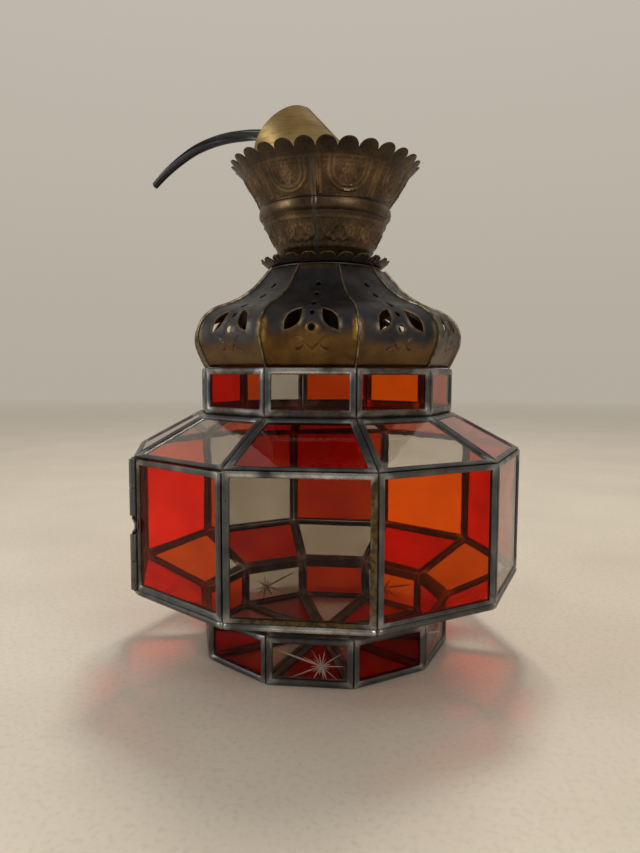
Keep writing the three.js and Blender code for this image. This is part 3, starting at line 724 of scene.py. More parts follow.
ARRISES = [Vector((radius * FLAT_PER_CORNER, height)) for radius, height in (
    (0, 0),
    (BASE_RADIUS, 0),
    (BASE_RADIUS, LOWER_TIER_TOP),
    (MAIN_RADIUS, MAIN_BOTTOM),
    (MAIN_RADIUS, MAIN_TOP),
    (NECK_RADIUS, SHOULDER_TOP),
    (NECK_RADIUS, UPPER_TIER_TOP),
)]
BASE, LOWER_TIER, LOWER_SLOPE, MAIN, UPPER_SLOPE, UPPER_TIER = range(6)
TIER_NAMES = ["base", "lower_tier", "lower_slope", "main", "upper_slope", "upper_tier"]
CAME_NODES = [
    "base_cames", "lower_tier_cames", "lower_slope_cames",
    "main_tier_cames", "upper_slope_cames", "upper_tier_cames",
]
FACETS = [number if number <= 5 else number - SIDES for number in range(SIDES)]
DOOR_FACET = -1
BOTTOM, RIGHT, TOP, LEFT = range(4)


class Facet:
    """A facet of a tier. From the middle of its lower edge, u runs sideways, v up its face and w outwards."""

    def __init__(self, tier, number):
        self.tier = tier
        self.number = number
        out, self.u = facing(number * FACET_ANGLE)
        start, end = [out * p.x + Vector((0, 0, p.y)) for p in ARRISES[tier:tier + 2]]
        self.origin = start
        self.v = (end - start).normalized()
        self.w = self.u.cross(self.v)

    def point(self, x, y, depth):
        return self.origin + self.u * x + self.v * y - self.w * depth

    def outline(self):
        start, end = ARRISES[self.tier:self.tier + 2]
        low, high = start.x * HALF_TAN, end.x * HALF_TAN
        length = (end - start).length
        corners = [(low, 0), (high, length), (-high, length)]
        if low > 0:
            corners.insert(0, (-low, 0))
        return [Vector(corner) for corner in corners]

    def slants(self):
        """How fast each side's edge face leans inwards with depth, so that neighbours meet on a mitre."""
        turns = [0.0] * len(ARRISES)
        for i in range(1, len(ARRISES) - 1):
            before = ARRISES[i] - ARRISES[i - 1]
            after = ARRISES[i + 1] - ARRISES[i]
            turns[i] = -before.angle_signed(after)
        side = math.tan(self.w.angle(Facet(self.tier, self.number + 1).w) / 2)
        low, high = [math.tan(turns[self.tier + k] / 2) for k in (0, 1)]
        return [side, high, side] if self.tier == BASE else [low, side, high, side]


def fixed_facets():
    """Every facet of every tier, but the door's."""
    every = [(tier, number) for tier in range(len(TIER_NAMES)) for number in FACETS]
    return [Facet(tier, number) for tier, number in every if (tier, number) != (MAIN, DOOR_FACET)]


def inset_outline(outline, distances):
    """Moves each side of a counter-clockwise outline inwards by its own distance."""
    count = len(outline)
    normals = []
    for i in range(count):
        along = (outline[(i + 1) % count] - outline[i]).normalized()
        normals.append(Vector((-along.y, along.x)))
    corners = []
    for i in range(count):
        before, after = normals[i - 1], normals[i]
        spread = before.x * after.y - before.y * after.x
        x = (distances[i - 1] * after.y - distances[i] * before.y) / spread
        y = (distances[i] * before.x - distances[i - 1] * after.x) / spread
        corners.append(outline[i] + Vector((x, y)))
    return corners


# Section of a U-shaped came: inset from the facet's edge, depth below its outer face, and whether the point
# leans with the mitre.
CAME_SECTION = [
    (0.2, 1.5, True),
    (0.4, 0.8, True),
    (1.0, 0.3, False),
    (1.7, 0.08, False),
    (2.4, 0.0, False),
    (3.2, 0.08, False),
    (4.0, 0.32, False),
    (4.5, 0.66, False),
    (4.8, 1.04, False),
    (3.7, 1.06, False),
    (3.7, 2.78, False),
    (4.8, 2.82, False),
    (4.5, 3.8, False),
    (3.7, 4.25, False),
    (2.4, 4.38, False),
    (1.0, 4.25, True),
    (0.4, 3.9, True),
    (0.2, 3.2, True),
]
CAME_STEP = 4.0


def came_marks(facet, side, share):
    """How bright the solder and the painted highlights are, and how brown the stain, at a share of the way
    along a side of a frame.
    """
    seed = facet.tier * 17.3 + facet.number * 3.1
    local = 0.5 + 0.5 * noise.noise(Vector((seed + side * 5.7, share * 2.2, 0.0)))
    in_front = facet.number == 0
    # Painted highlight: the top cames of the front facet get bright solder colour, as where they catch the
    # light. Other sides get patchy solder at random.
    if facet.tier == UPPER_TIER and side in (BOTTOM, TOP):
        return (0.8 if in_front and side == TOP else 0.1 + 0.25 * local), 0.5
    if facet.tier == MAIN and side == TOP:
        return (0.85 if in_front else 0.1 + 0.2 * local), 0.4 * share
    if facet.tier == MAIN and in_front and side in (BOTTOM, RIGHT):
        return 0.1, 1.0
    if facet.tier == MAIN and facet.number == DOOR_FACET and side == LEFT:
        return 0.0, 0.6
    return 0.16 * local, 0.2 * local


def make_came_frame(name, facet, outline, slants, leads, seed):
    """A frame of U-shaped came, mitred at its corners, with solder, painted highlight and stain values.

    A lead is how far a side stays back from its edge, and its came is narrower by as much."""
    count = len(outline)
    lengths = [(outline[(i + 1) % count] - outline[i]).length for i in range(count)]
    steps = [max(3, round(length / CAME_STEP)) for length in lengths]
    points, solder, stain = [], [], []
    for inset, depth, leaning in CAME_SECTION:
        distances = []
        for lead, slant in zip(leads, slants):
            distances.append(lead + inset * (1 - lead / CAME_FACE) + (depth * slant if leaning else 0.0))
        corners = inset_outline(outline, distances)
        for i in range(count):
            start, end = corners[i], corners[(i + 1) % count]
            length = (end - start).length
            for k in range(steps[i]):
                share = k / steps[i]
                flat = start.lerp(end, share)
                point = facet.point(flat.x, flat.y, depth)
                rough = noise.noise(point / 13 + Vector((seed, 0, 0)))
                near_corner = min(share, 1 - share) * length
                joint = 1 - smooth_step(1.5, 5.0, near_corner + 4 * rough)
                bright, brown = came_marks(facet, i, share)
                patchy = smooth_step(-0.25, 0.25, rough + bright - 0.5)
                solder.append(max(0.5 * joint, patchy * min(1.0, bright * 1.5)))
                stain.append(brown * smooth_step(-0.5, 0.1, rough + 0.3 * brown))
                lump = wobble(point, 7, 0.1, seed) * (0.3 + joint)
                points.append(point + wobble(point, 34, 0.16, seed) + lump)
    faces = grid_faces(len(CAME_SECTION), sum(steps), True, True)
    return make_mesh(name, points, faces, LEAD, solder=solder, stain=stain)


def make_came_frames():
    for facet in fixed_facets():
        outline = facet.outline()
        leads = [0.0] * len(outline)
        if facet.tier == MAIN:
            leads[BOTTOM] = ARRIS_LEAD
        if facet.tier == MAIN and facet.number == DOOR_FACET - 1:
            leads[RIGHT] = HINGE_SEAT
        name = f"{TIER_NAMES[facet.tier]}_frame_{facet.number % SIDES}"
        seed = facet.tier * 11 + facet.number
        piece = make_came_frame(name, facet, outline, facet.slants(), leads, seed)
        belongs(piece, "body", "lead_came", CAME_NODES[facet.tier])


ARRIS_BAR_RADIUS = 2.6
ARRIS_BAR_SETBACK = 2.5
ARRIS_BAR_END_GAP = 0.9
ARRIS_LEAD = 1.6


def make_arris_bars():
    """Half-round bars soldered along the lower edge of the main tier; the front one has a painted highlight
    along its right-hand part.
    """
    flat = ARRISES[MAIN].x - ARRIS_BAR_SETBACK
    half = flat * HALF_TAN - ARRIS_BAR_END_GAP
    section = circle(ARRIS_BAR_RADIUS, 14, 0.95)
    for number in FACETS:
        out, side = facing(number * FACET_ANGLE)
        middle = out * flat + Vector((0, 0, ARRISES[MAIN].y))
        line = [middle + side * half * share for share in np.linspace(-1, 1, 40)]
        line = [point + wobble(point, 30, 0.2, number) for point in line]
        piece = sweep(f"main_arris_bar_{number % SIDES}", line, section, LEAD, (0, 0, 1))
        solder, stain = [], []
        for vertex in piece.data.vertices:
            point = vertex.co / MM
            rough = noise.noise(point / 9)
            share = point.dot(side) / half
            # Painted highlight: on the front bar the solder colour rises towards its right-hand end, where
            # the light catches it.
            bright = smooth_step(-1.3, 0.2, share) if number == 0 else 0.12
            near_end = smooth_step(0.9, 1.0, abs(share))
            solder.append(min(1.0, max(smooth_step(0.2, 0.9, bright + 0.25 * rough), near_end * 0.5)))
            stain.append(0.15 + 0.3 * abs(rough))
        set_values(piece, solder=solder, stain=stain)
        belongs(piece, "body", "lead_came", "main_tier_cames")


# ---- Panes ----

TIERS_CLEAR_WHEN_EVEN = (LOWER_TIER, MAIN, UPPER_TIER)
PANE_NODES = {
    BASE: "base_glass",
    LOWER_TIER: "lower_tier_glass",
    LOWER_SLOPE: "lower_slope_pane_{}",
    MAIN: "main_pane_{}",
    UPPER_SLOPE: "upper_slope_pane_{}",
    UPPER_TIER: "upper_tier_glass",
}
# Tones for single panes are painted light and shade: deep where shade lies behind a pane, light where light
# comes through it.
PANE_TONES_AND_SHADE = {
    (MAIN, 0): 0.85,
    (MAIN, -1): 0.2,
    (MAIN, 1): 0.0,
    (MAIN, -3): 0.05,
    (MAIN, 4): 0.0,
    (MAIN, 5): 0.75,
    (MAIN, -4): 0.9,
    (UPPER_SLOPE, 0): 1.0,
    (LOWER_SLOPE, 5): 1.0,
    (LOWER_TIER, -4): 1.0,
    (LOWER_TIER, 0): 0.6,
    (LOWER_TIER, 1): 0.8,
    (LOWER_TIER, -1): 0.75,
    (UPPER_TIER, 0): 0.3,
    (UPPER_TIER, 1): 0.0,
    (UPPER_TIER, 4): 0.0,
    (UPPER_TIER, -1): 0.45,
}
SLOPE_SHINE = 0.9
UPRIGHT_SHINE = 0.2


def is_clear(facet):
    """Clear and red panes take turns round each tier."""
    return (facet.number % 2 == 0) == (facet.tier in TIERS_CLEAR_WHEN_EVEN)


def pane_tone(facet):
    """From 0, a light pane, to 1, a deep one. The tone also paints shade: panes low at the back are made
    deeper as painted shade, and listed panes get tones that paint the light and shade seen through them.
    """
    # Painted shade: panes low at the back are made deeper.
    painted_shade_low_at_back = facet.tier in (BASE, LOWER_TIER, LOWER_SLOPE) and abs(facet.number) > 2
    place = Vector((facet.tier * 3.3 + 0.5, facet.number * 1.7 + 0.5, 4.0))
    tone = 0.5 + 0.5 * noise.noise(place) + (0.3 if painted_shade_low_at_back else 0.0)
    return PANE_TONES_AND_SHADE.get((facet.tier, facet.number), min(1.0, tone))


def make_pane(name, facet, outline):
    """A thin slab of hand-made glass: two gently wavy faces on a grid, closed round the edge."""
    corners = inset_outline(outline, [PANE_INSET] * len(outline))
    if len(corners) == 3:
        tip, right, left = corners
        corners = [tip.lerp(left, 0.001), tip.lerp(right, 0.001), right, left]
    low_left, low_right, high_right, high_left = corners
    wide = max((low_right - low_left).length, (high_right - high_left).length)
    tall = (high_left - low_left).length
    columns = max(3, round(wide / PANE_CELL)) + 1
    rows = max(3, round(tall / PANE_CELL)) + 1
    points = []
    for depth, sign in ((PANE_OUTER, 1), (PANE_INNER, -1)):
        for row in range(rows):
            left = low_left.lerp(high_left, row / (rows - 1))
            right = low_right.lerp(high_right, row / (rows - 1))
            for column in range(columns):
                flat = left.lerp(right, column / (columns - 1))
                point = facet.point(flat.x, flat.y, depth)
                wave = 0.06 * (1 + noise.noise(point / 24 + Vector((0, 0, 5.0 * sign))))
                points.append(point - facet.w * sign * wave)
    layer = rows * columns
    face = grid_faces(rows, columns)
    faces = face + [tuple(index + layer for index in quad[::-1]) for quad in face]
    rim = list(range(columns))
    rim += [row * columns + columns - 1 for row in range(1, rows)]
    rim += [(rows - 1) * columns + column for column in range(columns - 2, -1, -1)]
    rim += [row * columns for row in range(rows - 2, 0, -1)]
    for index, beside in zip(rim, rim[1:] + rim[:1]):
        faces.append((index, beside, beside + layer, index + layer))
    piece = make_mesh(name, points, faces, CLEAR_GLASS if is_clear(facet) else RED_GLASS, 60)
    shine = SLOPE_SHINE if facet.tier == UPPER_SLOPE else UPRIGHT_SHINE
    set_values(piece, tone=pane_tone(facet), shine=shine)
    return piece


RAY_COUNT = 18
RAY_WIDTH = 0.46
STAR_AT = Vector((8.0, 15.0))
STAR_ROOM = (-24.5, 24.5, 5.6, 25.8)


def star_rays(seed):
    """Directions, lengths and widths of a starburst's uneven rays; the long ones reach the pane's edges."""
    source = np.random.default_rng(seed)
    rays = []
    for k in range(RAY_COUNT):
        angle = 2 * math.pi * (k + source.uniform(-0.3, 0.3)) / RAY_COUNT
        reach = source.uniform(5, 8) if k % 2 else source.uniform(10, 18)
        rays.append((angle, reach, source.uniform(0.4, 1.0)))
    rays.append((math.radians(162), 31.0, 1.6))
    rays.append((math.radians(203), 26.0, 0.7))
    rays.append((math.radians(292), 13.0, 1.1))
    left, right, low, high = STAR_ROOM
    held = []
    for angle, reach, width in rays:
        x, y = math.cos(angle), math.sin(angle)
        across = ((right if x > 0 else left) - STAR_AT.x) / x
        upwards = ((high if y > 0 else low) - STAR_AT.y) / y
        held.append((angle, min(reach, across - 0.5, upwards - 0.5), width))
    return held


def make_starburst(facet):
    """Wheel-cut rays on the outer face of a pane: frosted slivers, widest near the middle of their length."""
    points, faces = [], []
    rows = 9
    for angle, reach, width in star_rays(7 + facet.number):
        along = Vector((math.cos(angle), math.sin(angle)))
        across = Vector((-along.y, along.x))
        start = len(points)
        for k in range(rows):
            share = k / (rows - 1)
            half = RAY_WIDTH * width * (0.12 + 0.88 * math.sin(math.pi * min(1.0, share * 0.9 + 0.1)))
            centre = STAR_AT + along * (0.4 + reach * share)
            for aside, depth in ((-half, -0.16), (0.0, -0.1), (half, -0.16), (0.0, 0.15)):
                flat = centre + across * aside
                points.append(facet.point(flat.x, flat.y, PANE_OUTER + depth))
        faces += [[start + index for index in face] for face in bar_faces(rows, 4)]
    piece = make_mesh(f"cut_starburst_{facet.number % SIDES}", points, faces, CUT_GLASS, 20)
    belongs(piece, "body", "clear_glass", PANE_NODES[facet.tier])


def make_panes():
    for facet in fixed_facets():
        clear = is_clear(facet)
        if facet.tier == LOWER_TIER and clear:
            make_starburst(facet)
        number = facet.number % SIDES
        piece = make_pane(f"{TIER_NAMES[facet.tier]}_glass_pane_{number}", facet, facet.outline())
        slot = "clear_glass" if clear else "red_glass"
        belongs(piece, "body", slot, PANE_NODES[facet.tier].format(number))


# ---- Door and hinge ----

KNUCKLE_RADIUS = 2.6
KNUCKLE_BORE = 1.2
PIN_RADIUS = 0.9
HINGE_SEAT = KNUCKLE_RADIUS + 0.35
HINGE_AT = facing((DOOR_FACET - 0.5) * FACET_ANGLE)[0] * MAIN_RADIUS
DOOR_EDGE = 0.6 * KNUCKLE_RADIUS
DOOR_SLIT = 1.6
KNUCKLES = ["hinge_knuckle_top", "door_knuckle_upper", "door_knuckle_lower", "hinge_knuckle_bottom"]

# The pin is straight in the knuckles and bent where it shows. Each row is a height, and how far the pin goes
# sideways and outwards there.
PIN_LINE = [
    (60.4, 0, 0),
    (80, 0, 0),
    (98, 0, 0),
    (100.6, 0.05, 0.15),
    (101.8, 0.9, 1.0),
    (103.0, 2.9, 1.5),
    (104.4, 4.6, 1.6),
    (106.4, 5.2, 1.6),
    (108.4, 4.6, 1.6),
    (109.8, 2.9, 1.5),
    (111.0, 0.9, 1.0),
    (112.2, 0.05, 0.15),
    (114.8, 0, 0),
    (136, 0, 0),
    (152.4, 0, 0),
]


def door_outline():
    """The door's outline in its facet's frame, from the CAD door frame's heights."""
    half = MAIN_RADIUS * math.sin(FACET_ANGLE / 2)
    low, high = box_mm("door_frame")
    left, right = -half + DOOR_EDGE, half - DOOR_SLIT
    bottom, top = low.z - MAIN_BOTTOM, high.z - MAIN_BOTTOM
    return [Vector((left, bottom)), Vector((right, bottom)), Vector((right, top)), Vector((left, top))]


def make_door():
    facet = Facet(MAIN, DOOR_FACET)
    outline = door_outline()
    low, _, high, _ = facet.slants()
    leads = [0.0, 0.0, 0.0, HINGE_SEAT - DOOR_EDGE]
    frame_piece = make_came_frame("door_came_frame", facet, outline, [low, 0.0, high, 0.0], leads, 77)
    belongs(frame_piece, "door", "lead_came", "door_frame")
    belongs(make_pane("door_glass_pane", facet, outline), "door", "red_glass", "door_pane")


def make_hinge():
    place = Matrix.Translation(HINGE_AT)
    for node in KNUCKLES:
        low, high = box_mm(node)
        outline = rounded(ring_outline(KNUCKLE_BORE, KNUCKLE_RADIUS, low.z, high.z), 0.5)
        piece = lathe(f"{node}_barrel", outline, LEAD, 40, place)
        set_values(piece, solder=0.1, stain=0.1)
        belongs(piece, "door" if node.startswith("door") else "body", "lead_came", node)
    facet = Facet(MAIN, DOOR_FACET)
    line = []
    for height, across, out in PIN_LINE:
        line.append(HINGE_AT + Vector((0, 0, height)) + facet.u * across + facet.w * out)
    pin = sweep("bent_hinge_pin", spline(line, 90), circle(PIN_RADIUS, 16), DULL_STEEL, (1, 0, 0))
    belongs(pin, "door", "steel", "hinge_pin")


make_came_frames()
make_arris_bars()
make_panes()
make_door()
make_hinge()


# ---- Dome ----

DOME_SHEET = 1.1
DOME_PROFILE = [
    (94.6, 213.9),
    (96.0, 216.5),
    (99.4, 223.2),
    (102.6, 231.5),
    (102.6, 240.0),
    (98.4, 248.3),
    (90.0, 255.0),
    (79.0, 259.4),
    (69.5, 264.2),
    (60.0, 271.0),
    (53.0, 278.3),
    (45.3, 287.0),
]
DROP_HOLES = [(272, 1.8), (264, 1.8), (256, 1.8), (249, 1.8), (239, 2.7)]
HOLE_SHIFT = 1.4
LEAF_TOP = Vector((6.4, 252))
LEAF_FOOT = Vector((17.7, 237))
LEAF_HALF_WIDTH = 4.5
GORE_CELL = 2.4
# Where the bronze skirt fades into black: higher on the front gore as painted light, lower on the side gores
# as painted shade.
LIT_FRONT_SKIRT_LINE = 242.0
SHADED_SIDE_SKIRT_LINE = 234.0
SKIRT_FADE = 6.0
# Height about which gold is painted beside the seams as a highlight.
SEAM_SHEEN_HEIGHT = 238
RIM_WIDTH = 0.55
RIM_RISE = 0.75
GROOVE_HALF_WIDTH = 0.45
GROOVE_DEPTH = 0.4


DOME_LINE = spline(DOME_PROFILE, 140)
DOME_TRAVEL = [0.0]
for before, after in zip(DOME_LINE, DOME_LINE[1:]):
    DOME_TRAVEL.append(DOME_TRAVEL[-1] + (after - before).length)


def dome_at(travel):
    """Radius and height on the dome's profile, at a distance along it from its foot."""
    radius = float(np.interp(travel, DOME_TRAVEL, [p.x for p in DOME_LINE]))
    height = float(np.interp(travel, DOME_TRAVEL, [p.y for p in DOME_LINE]))
    return radius, height


def dome_travel(height):
    return float(np.interp(height, [p.y for p in DOME_LINE], DOME_TRAVEL))


def dome_normal(travel, out):
    """The direction straight out of the dome's sheet, for an outward direction."""
    below, above = dome_at(travel - 0.4), dome_at(travel + 0.4)
    tangent = Vector((above[0] - below[0], above[1] - below[1])).normalized()
    return out * tangent.y - Vector((0, 0, tangent.x))


def gore_half_width(travel):
    return dome_at(travel)[0] * math.sin(FACET_ANGLE / 2)


def round_hole(height, radius):
    return [Vector((x, height + y)) for x, y in circle(radius, 14 if radius < 2 else 22)]


def leaf_hole(side):
    """A pointed leaf whose two edges bulge like arcs."""
    top = Vector((side * LEAF_TOP.x, LEAF_TOP.y))
    foot = Vector((side * LEAF_FOOT.x, LEAF_FOOT.y))
    along = foot - top
    across = Vector((-along.y, along.x)).normalized() * LEAF_HALF_WIDTH
    shares = [i / 12 for i in range(13)]
    left = [top + along * s + across * math.sin(math.pi * s) for s in shares]
    right = [top + along * s - across * math.sin(math.pi * s) for s in shares[-2:0:-1]]
    return left + right


def tulip_lines():
    """Scribed lines on the skirt: a small V with a curl each side, as (sideways, height) runs."""
    strokes, curls = [], []
    for side in (-1, 1):
        strokes.append([Vector((side * 7.5 * t, 224 + 8 * t)) for t in np.linspace(0, 1, 8)])
        turns = np.linspace(-1.6, 1.5, 10)
        curls.append([Vector((side * (9.5 - 4.5 * math.cos(a)), 229 + 4.5 * math.sin(a))) for a in turns])
    return strokes + curls


def hole_distance(point, outlines):
    """Distance from a point to the nearest of some closed outlines."""
    best = 1e9
    for outline in outlines:
        for i, start in enumerate(outline):
            end = outline[(i + 1) % len(outline)]
            along = end - start
            share = min(1.0, max(0.0, (point - start).dot(along) / along.length_squared))
            best = min(best, (point - start - along * share).length)
    return best


def inside_outline(point, outline):
    crossings = 0
    for i, start in enumerate(outline):
        end = outline[(i + 1) % len(outline)]
        if (start.y > point.y) != (end.y > point.y):
            crossing = start.x + (point.y - start.y) * (end.x - start.x) / (end.y - start.y)
            crossings += point.x < crossing
    return crossings % 2 == 1


def flattened(outline):
    """Points of (sideways, height) on a gore's flat pattern, shifted with its holes."""
    return [Vector((p.x + HOLE_SHIFT, dome_travel(p.y))) for p in outline]


def gore_grid(holes, scribed):
    """Points of a gore's grid that keep clear of its holes and lines, and the edges down its two sides."""
    length = DOME_TRAVEL[-1]
    rows = round(length / GORE_CELL)
    points, left, right = [], [], []
    for row in range(rows + 1):
        travel = length * row / rows
        half = gore_half_width(travel)
        columns = max(6, 2 * round(half / GORE_CELL))
        for column in range(columns + 1):
            point = Vector((-half + 2 * half * column / columns, travel))
            on_edge = column in (0, columns) or row in (0, rows)
            if on_edge or hole_distance(point, holes) > 0.9 and hole_distance(point, scribed) > 0.7:
                if column == 0:
                    left.append(len(points))
                if column == columns:
                    right.append(len(points))
                points.append(point)
    return points, list(zip(left, left[1:])) + list(zip(right, right[1:]))


def gore_mesh():
    """The flat pattern of one gore, triangulated round its holes, and how far each point is raised."""
    rims = [flattened(outline) for outline in (leaf_hole(1), leaf_hole(-1), round_hole(*DROP_HOLES[-1]))]
    holes = rims + [flattened(round_hole(height, radius)) for height, radius in DROP_HOLES[:-1]]
    scribed = [flattened(run) for run in tulip_lines()]
    points, edges = gore_grid(holes, scribed)
    for outline in holes:
        centre = sum(outline, Vector((0, 0))) / len(outline)
        for grow in (0.0, RIM_WIDTH):
            indices = [len(points) + k for k in range(len(outline))]
            points += [p + (p - centre).normalized() * grow for p in outline]
            edges += list(zip(indices, indices[1:] + indices[:1]))
    grooved = set()
    for run in scribed:
        for aside in (-GROOVE_HALF_WIDTH, 0.0, GROOVE_HALF_WIDTH):
            start = len(points)
            for k, p in enumerate(run):
                ahead = (run[min(k + 1, len(run) - 1)] - run[max(k - 1, 0)]).normalized()
                points.append(p + Vector((-ahead.y, ahead.x)) * aside)
            edges += [(k, k + 1) for k in range(start, len(points) - 1)]
            if aside == 0.0:
                grooved |= set(range(start, len(points)))
    found, _, triangles, came_from, *_ = geometry.delaunay_2d_cdt(points, edges, [], 0, 1e-5)
    kept = []
    for triangle in triangles:
        centre = sum((found[i] for i in triangle), Vector((0, 0))) / 3
        on_gore = abs(centre.x) < gore_half_width(centre.y)
        if on_gore and not any(inside_outline(centre, hole) for hole in holes):
            kept.append(triangle)
    used = sorted({i for triangle in kept for i in triangle})
    index = {old: new for new, old in enumerate(used)}
    lifts = []
    for i in used:
        lift = RIM_RISE * (1 - smooth_step(0.0, 1.5, hole_distance(found[i], rims)))
        lifts.append(lift - (GROOVE_DEPTH if grooved & set(came_from[i]) else 0.0))
    return [found[i] for i in used], [tuple(index[i] for i in triangle) for triangle in kept], lifts


def make_dome():
    flat_points, triangles, lifts = gore_mesh()
    for number in range(SIDES):
        in_front = number == 0
        out, side = facing(number * FACET_ANGLE)
        points, bronze, gold = [], [], []
        for flat, lift in zip(flat_points, lifts):
            radius, height = dome_at(flat.y)
            share = min(1.0, abs(flat.x) / gore_half_width(flat.y))
            curl = 0.55 * smooth_step(0.82, 1.0, share) - 0.35 * (1 - share * share)
            point = out * radius * FLAT_PER_CORNER + side * flat.x + Vector((0, 0, height))
            dent = noise.noise(point / 30 + Vector((number * 4.0, 0, 0))) * 0.35
            points.append(point + dome_normal(flat.y, out) * (lift + curl * 0.6 + dent - 0.2))
            # Painted light: the front gore's bronze skirt reaches higher and at full strength, while the side
            # gores' bronze is lower and weaker as painted shade.
            line = LIT_FRONT_SKIRT_LINE if in_front else SHADED_SIDE_SKIRT_LINE
            arch = line - 4.5 * (1 - (2 * share - 1) ** 2) + 3 * noise.noise(point / 12)
            skirt = 1 - smooth_step(arch - SKIRT_FADE, arch + 3, height)
            bronze.append(max(skirt if in_front else 0.8 * skirt, 0.35 * smooth_step(0.9, 1.0, share)))
            # Painted highlight: gold beside the seams around this height and along the top edge, strong on
            # the front gore and faint on the others. The gold on the raised hole rims is rubbed brass.
            beside_seam = smooth_step(0.84, 0.92, share) * (1 - smooth_step(5, 9, abs(height - SEAM_SHEEN_HEIGHT)))
            top_edge = smooth_step(284.5, 286.3, height)
            paler = 0.7 if in_front else 0.25
            gold.append(max(paler * beside_seam, 0.22 * smooth_step(0.2, 0.7, lift), paler * top_edge))
        piece = make_mesh(f"dome_gore_{number}", points, triangles, DOME, 60, bronze=bronze, gold=gold)
        thicken(piece, DOME_SHEET, -1)
        belongs(piece, "body", "dome_brass", "dome")
        make_seam(number)


SEAM_HALF_WIDTH = 0.55
SEAM_HEIGHT = 1.2


def make_seam(number):
    """The thin raised strip that covers the joint between two gores."""
    out, side = facing((number + 0.5) * FACET_ANGLE)
    shoulder = 0.55 * SEAM_HEIGHT
    section = [(-SEAM_HALF_WIDTH, -1.0), (-SEAM_HALF_WIDTH, shoulder)]
    for a in np.linspace(math.pi * 0.8, math.pi * 0.2, 5):
        section.append((SEAM_HALF_WIDTH * math.cos(a), SEAM_HEIGHT * (0.55 + 0.45 * math.sin(a))))
    section += [(SEAM_HALF_WIDTH, shoulder), (SEAM_HALF_WIDTH, -1.0)]
    points = []
    rows = 70
    for row in range(rows):
        travel = DOME_TRAVEL[-1] * row / (rows - 1)
        radius, height = dome_at(travel)
        normal = dome_normal(travel, out)
        base = out * radius + Vector((0, 0, height))
        base += wobble(base, 18, 0.2, number)
        points += [base + side * x + normal * y for x, y in section]
    piece = make_mesh(f"dome_seam_{number}", points, bar_faces(rows, len(section)), SEAM, 50)
    belongs(piece, "body", "dome_brass", "dome")


make_dome()


# ---- Crown and collar ----

CROWN_SHEET = 0.8
CROWN_SCALLOPS = 28
CROWN_NOTCH = 0.42
CROWN_SEAM_ANGLE = -0.055
CROWN_COLUMNS = CROWN_SCALLOPS * 18
CROWN_WALL = [
    (29.6, 288.9),
    (34.3, 298.0),
    (40.8, 310.8),
    (46.9, 322.6),
    (48.0, 324.3),
    (49.6, 326.4),
    (50.0, 329.0),
    (49.6, 331.6),
    (48.6, 333.6),
    (50.6, 337.5),
    (56.4, 347.0),
    (62.2, 356.4),
]
CROWN_TIP = Vector((71.0, 367.4))
LIP_ROWS = 16
RELIEF_HEIGHT = 1.1
STIPPLE_HEIGHT = 0.7
UPPER_BAND = (334.2, 357.5)
LOWER_BAND = (300.0, 321.0)
BEAD_BAND = (321.5, 334.5)
BEAD_MIDDLE = 329
BORDER_HEIGHTS = (301.5, 320.2)
LINING_FOOT = 350.5
MEDALLIONS = 8
MEDALLION_RADIUS = 55.0
FLOWER_HEIGHT = 348
PETALS = 6
SCROLLS = 18
SCROLL_RADIUS = 41.0
SPIRAL_HEIGHT = 311.5


def medallion_curves(width):
    """Raised lines of one cartouche, as runs of (sideways, height) points: nested Us round a flower."""
    half = width / 2
    runs = []
    for reach, bottom in ((half * 0.64, 336.8), (half * 0.5, 339.4)):
        arc = []
        for a in np.linspace(-1.57, 1.57, 40):
            arc.append((reach * math.sin(a), bottom + reach * 0.8 * (1 - math.cos(a))))
        runs.append([(-reach, 355.0)] + arc + [(reach, 355.0)])
    for k in range(PETALS):
        turn = 2 * math.pi * k / PETALS
        petal = []
        for t in np.linspace(0, 2 * math.pi, 20):
            x, y = 2.4 + 2.0 * math.cos(t), 1.1 * math.sin(t)
            height = FLOWER_HEIGHT + x * math.sin(turn) + y * math.cos(turn)
            petal.append((x * math.cos(turn) - y * math.sin(turn), height))
        runs.append(petal)
    for side in (-1, 1):
        runs.append([(side * (1 + 5 * t), 341.8 + 3.0 * math.sin(2.6 * t)) for t in np.linspace(0, 1, 16)])
        for reach in (half * 0.92, half):
            runs.append([(side * reach, height) for height in np.linspace(334.8, 356.5, 40)])
    return runs


def scroll_curves(width):
    """Raised lines of one scroll of the lower band, as runs of (sideways, height) points."""
    spiral = []
    for t in np.linspace(0, 1, 60):
        reach = 0.5 + 4.0 * t
        angle = math.pi * (0.4 + 3.1 * t)
        spiral.append((reach * math.cos(angle) * 0.95, SPIRAL_HEIGHT + reach * math.sin(angle)))
    tail = []
    for t in np.linspace(0, 1, 24):
        tail.append((-4.2 + (width * 0.5 + 3.0) * t, 307.2 + 1.4 * math.sin(6.3 * t)))
    leaf = [(3.4 + 2.4 * t, 313.5 + 4.2 * t - 3.0 * t * t) for t in np.linspace(0, 1, 12)]
    return [spiral, tail, leaf]


def dense(runs, step=0.35):
    """Points close together along some runs, as an array."""
    found = []
    for run in runs:
        for start, end in zip(run, run[1:]):
            length = math.dist(start, end)
            count = max(1, math.ceil(length / step))
            for k in range(count):
                t = k / count
                found.append(Vector(start).lerp(Vector(end), t))
        found.append(run[-1])
    return np.array(found)


def ridge(xy, curve, width):
    """Height from 0 to 1 of a rounded ridge along a curve, at each of some points."""
    nearest = np.full(len(xy), 1e9)
    for start in range(0, len(curve), 64):
        part = curve[start:start + 64]
        gap = ((xy[:, None, :] - part[None, :, :]) ** 2).sum(-1).min(1)
        nearest = np.minimum(nearest, gap)
    return np.exp(-nearest / width ** 2)


def in_band(heights, band):
    low, high = band
    return (heights > low) & (heights < high)


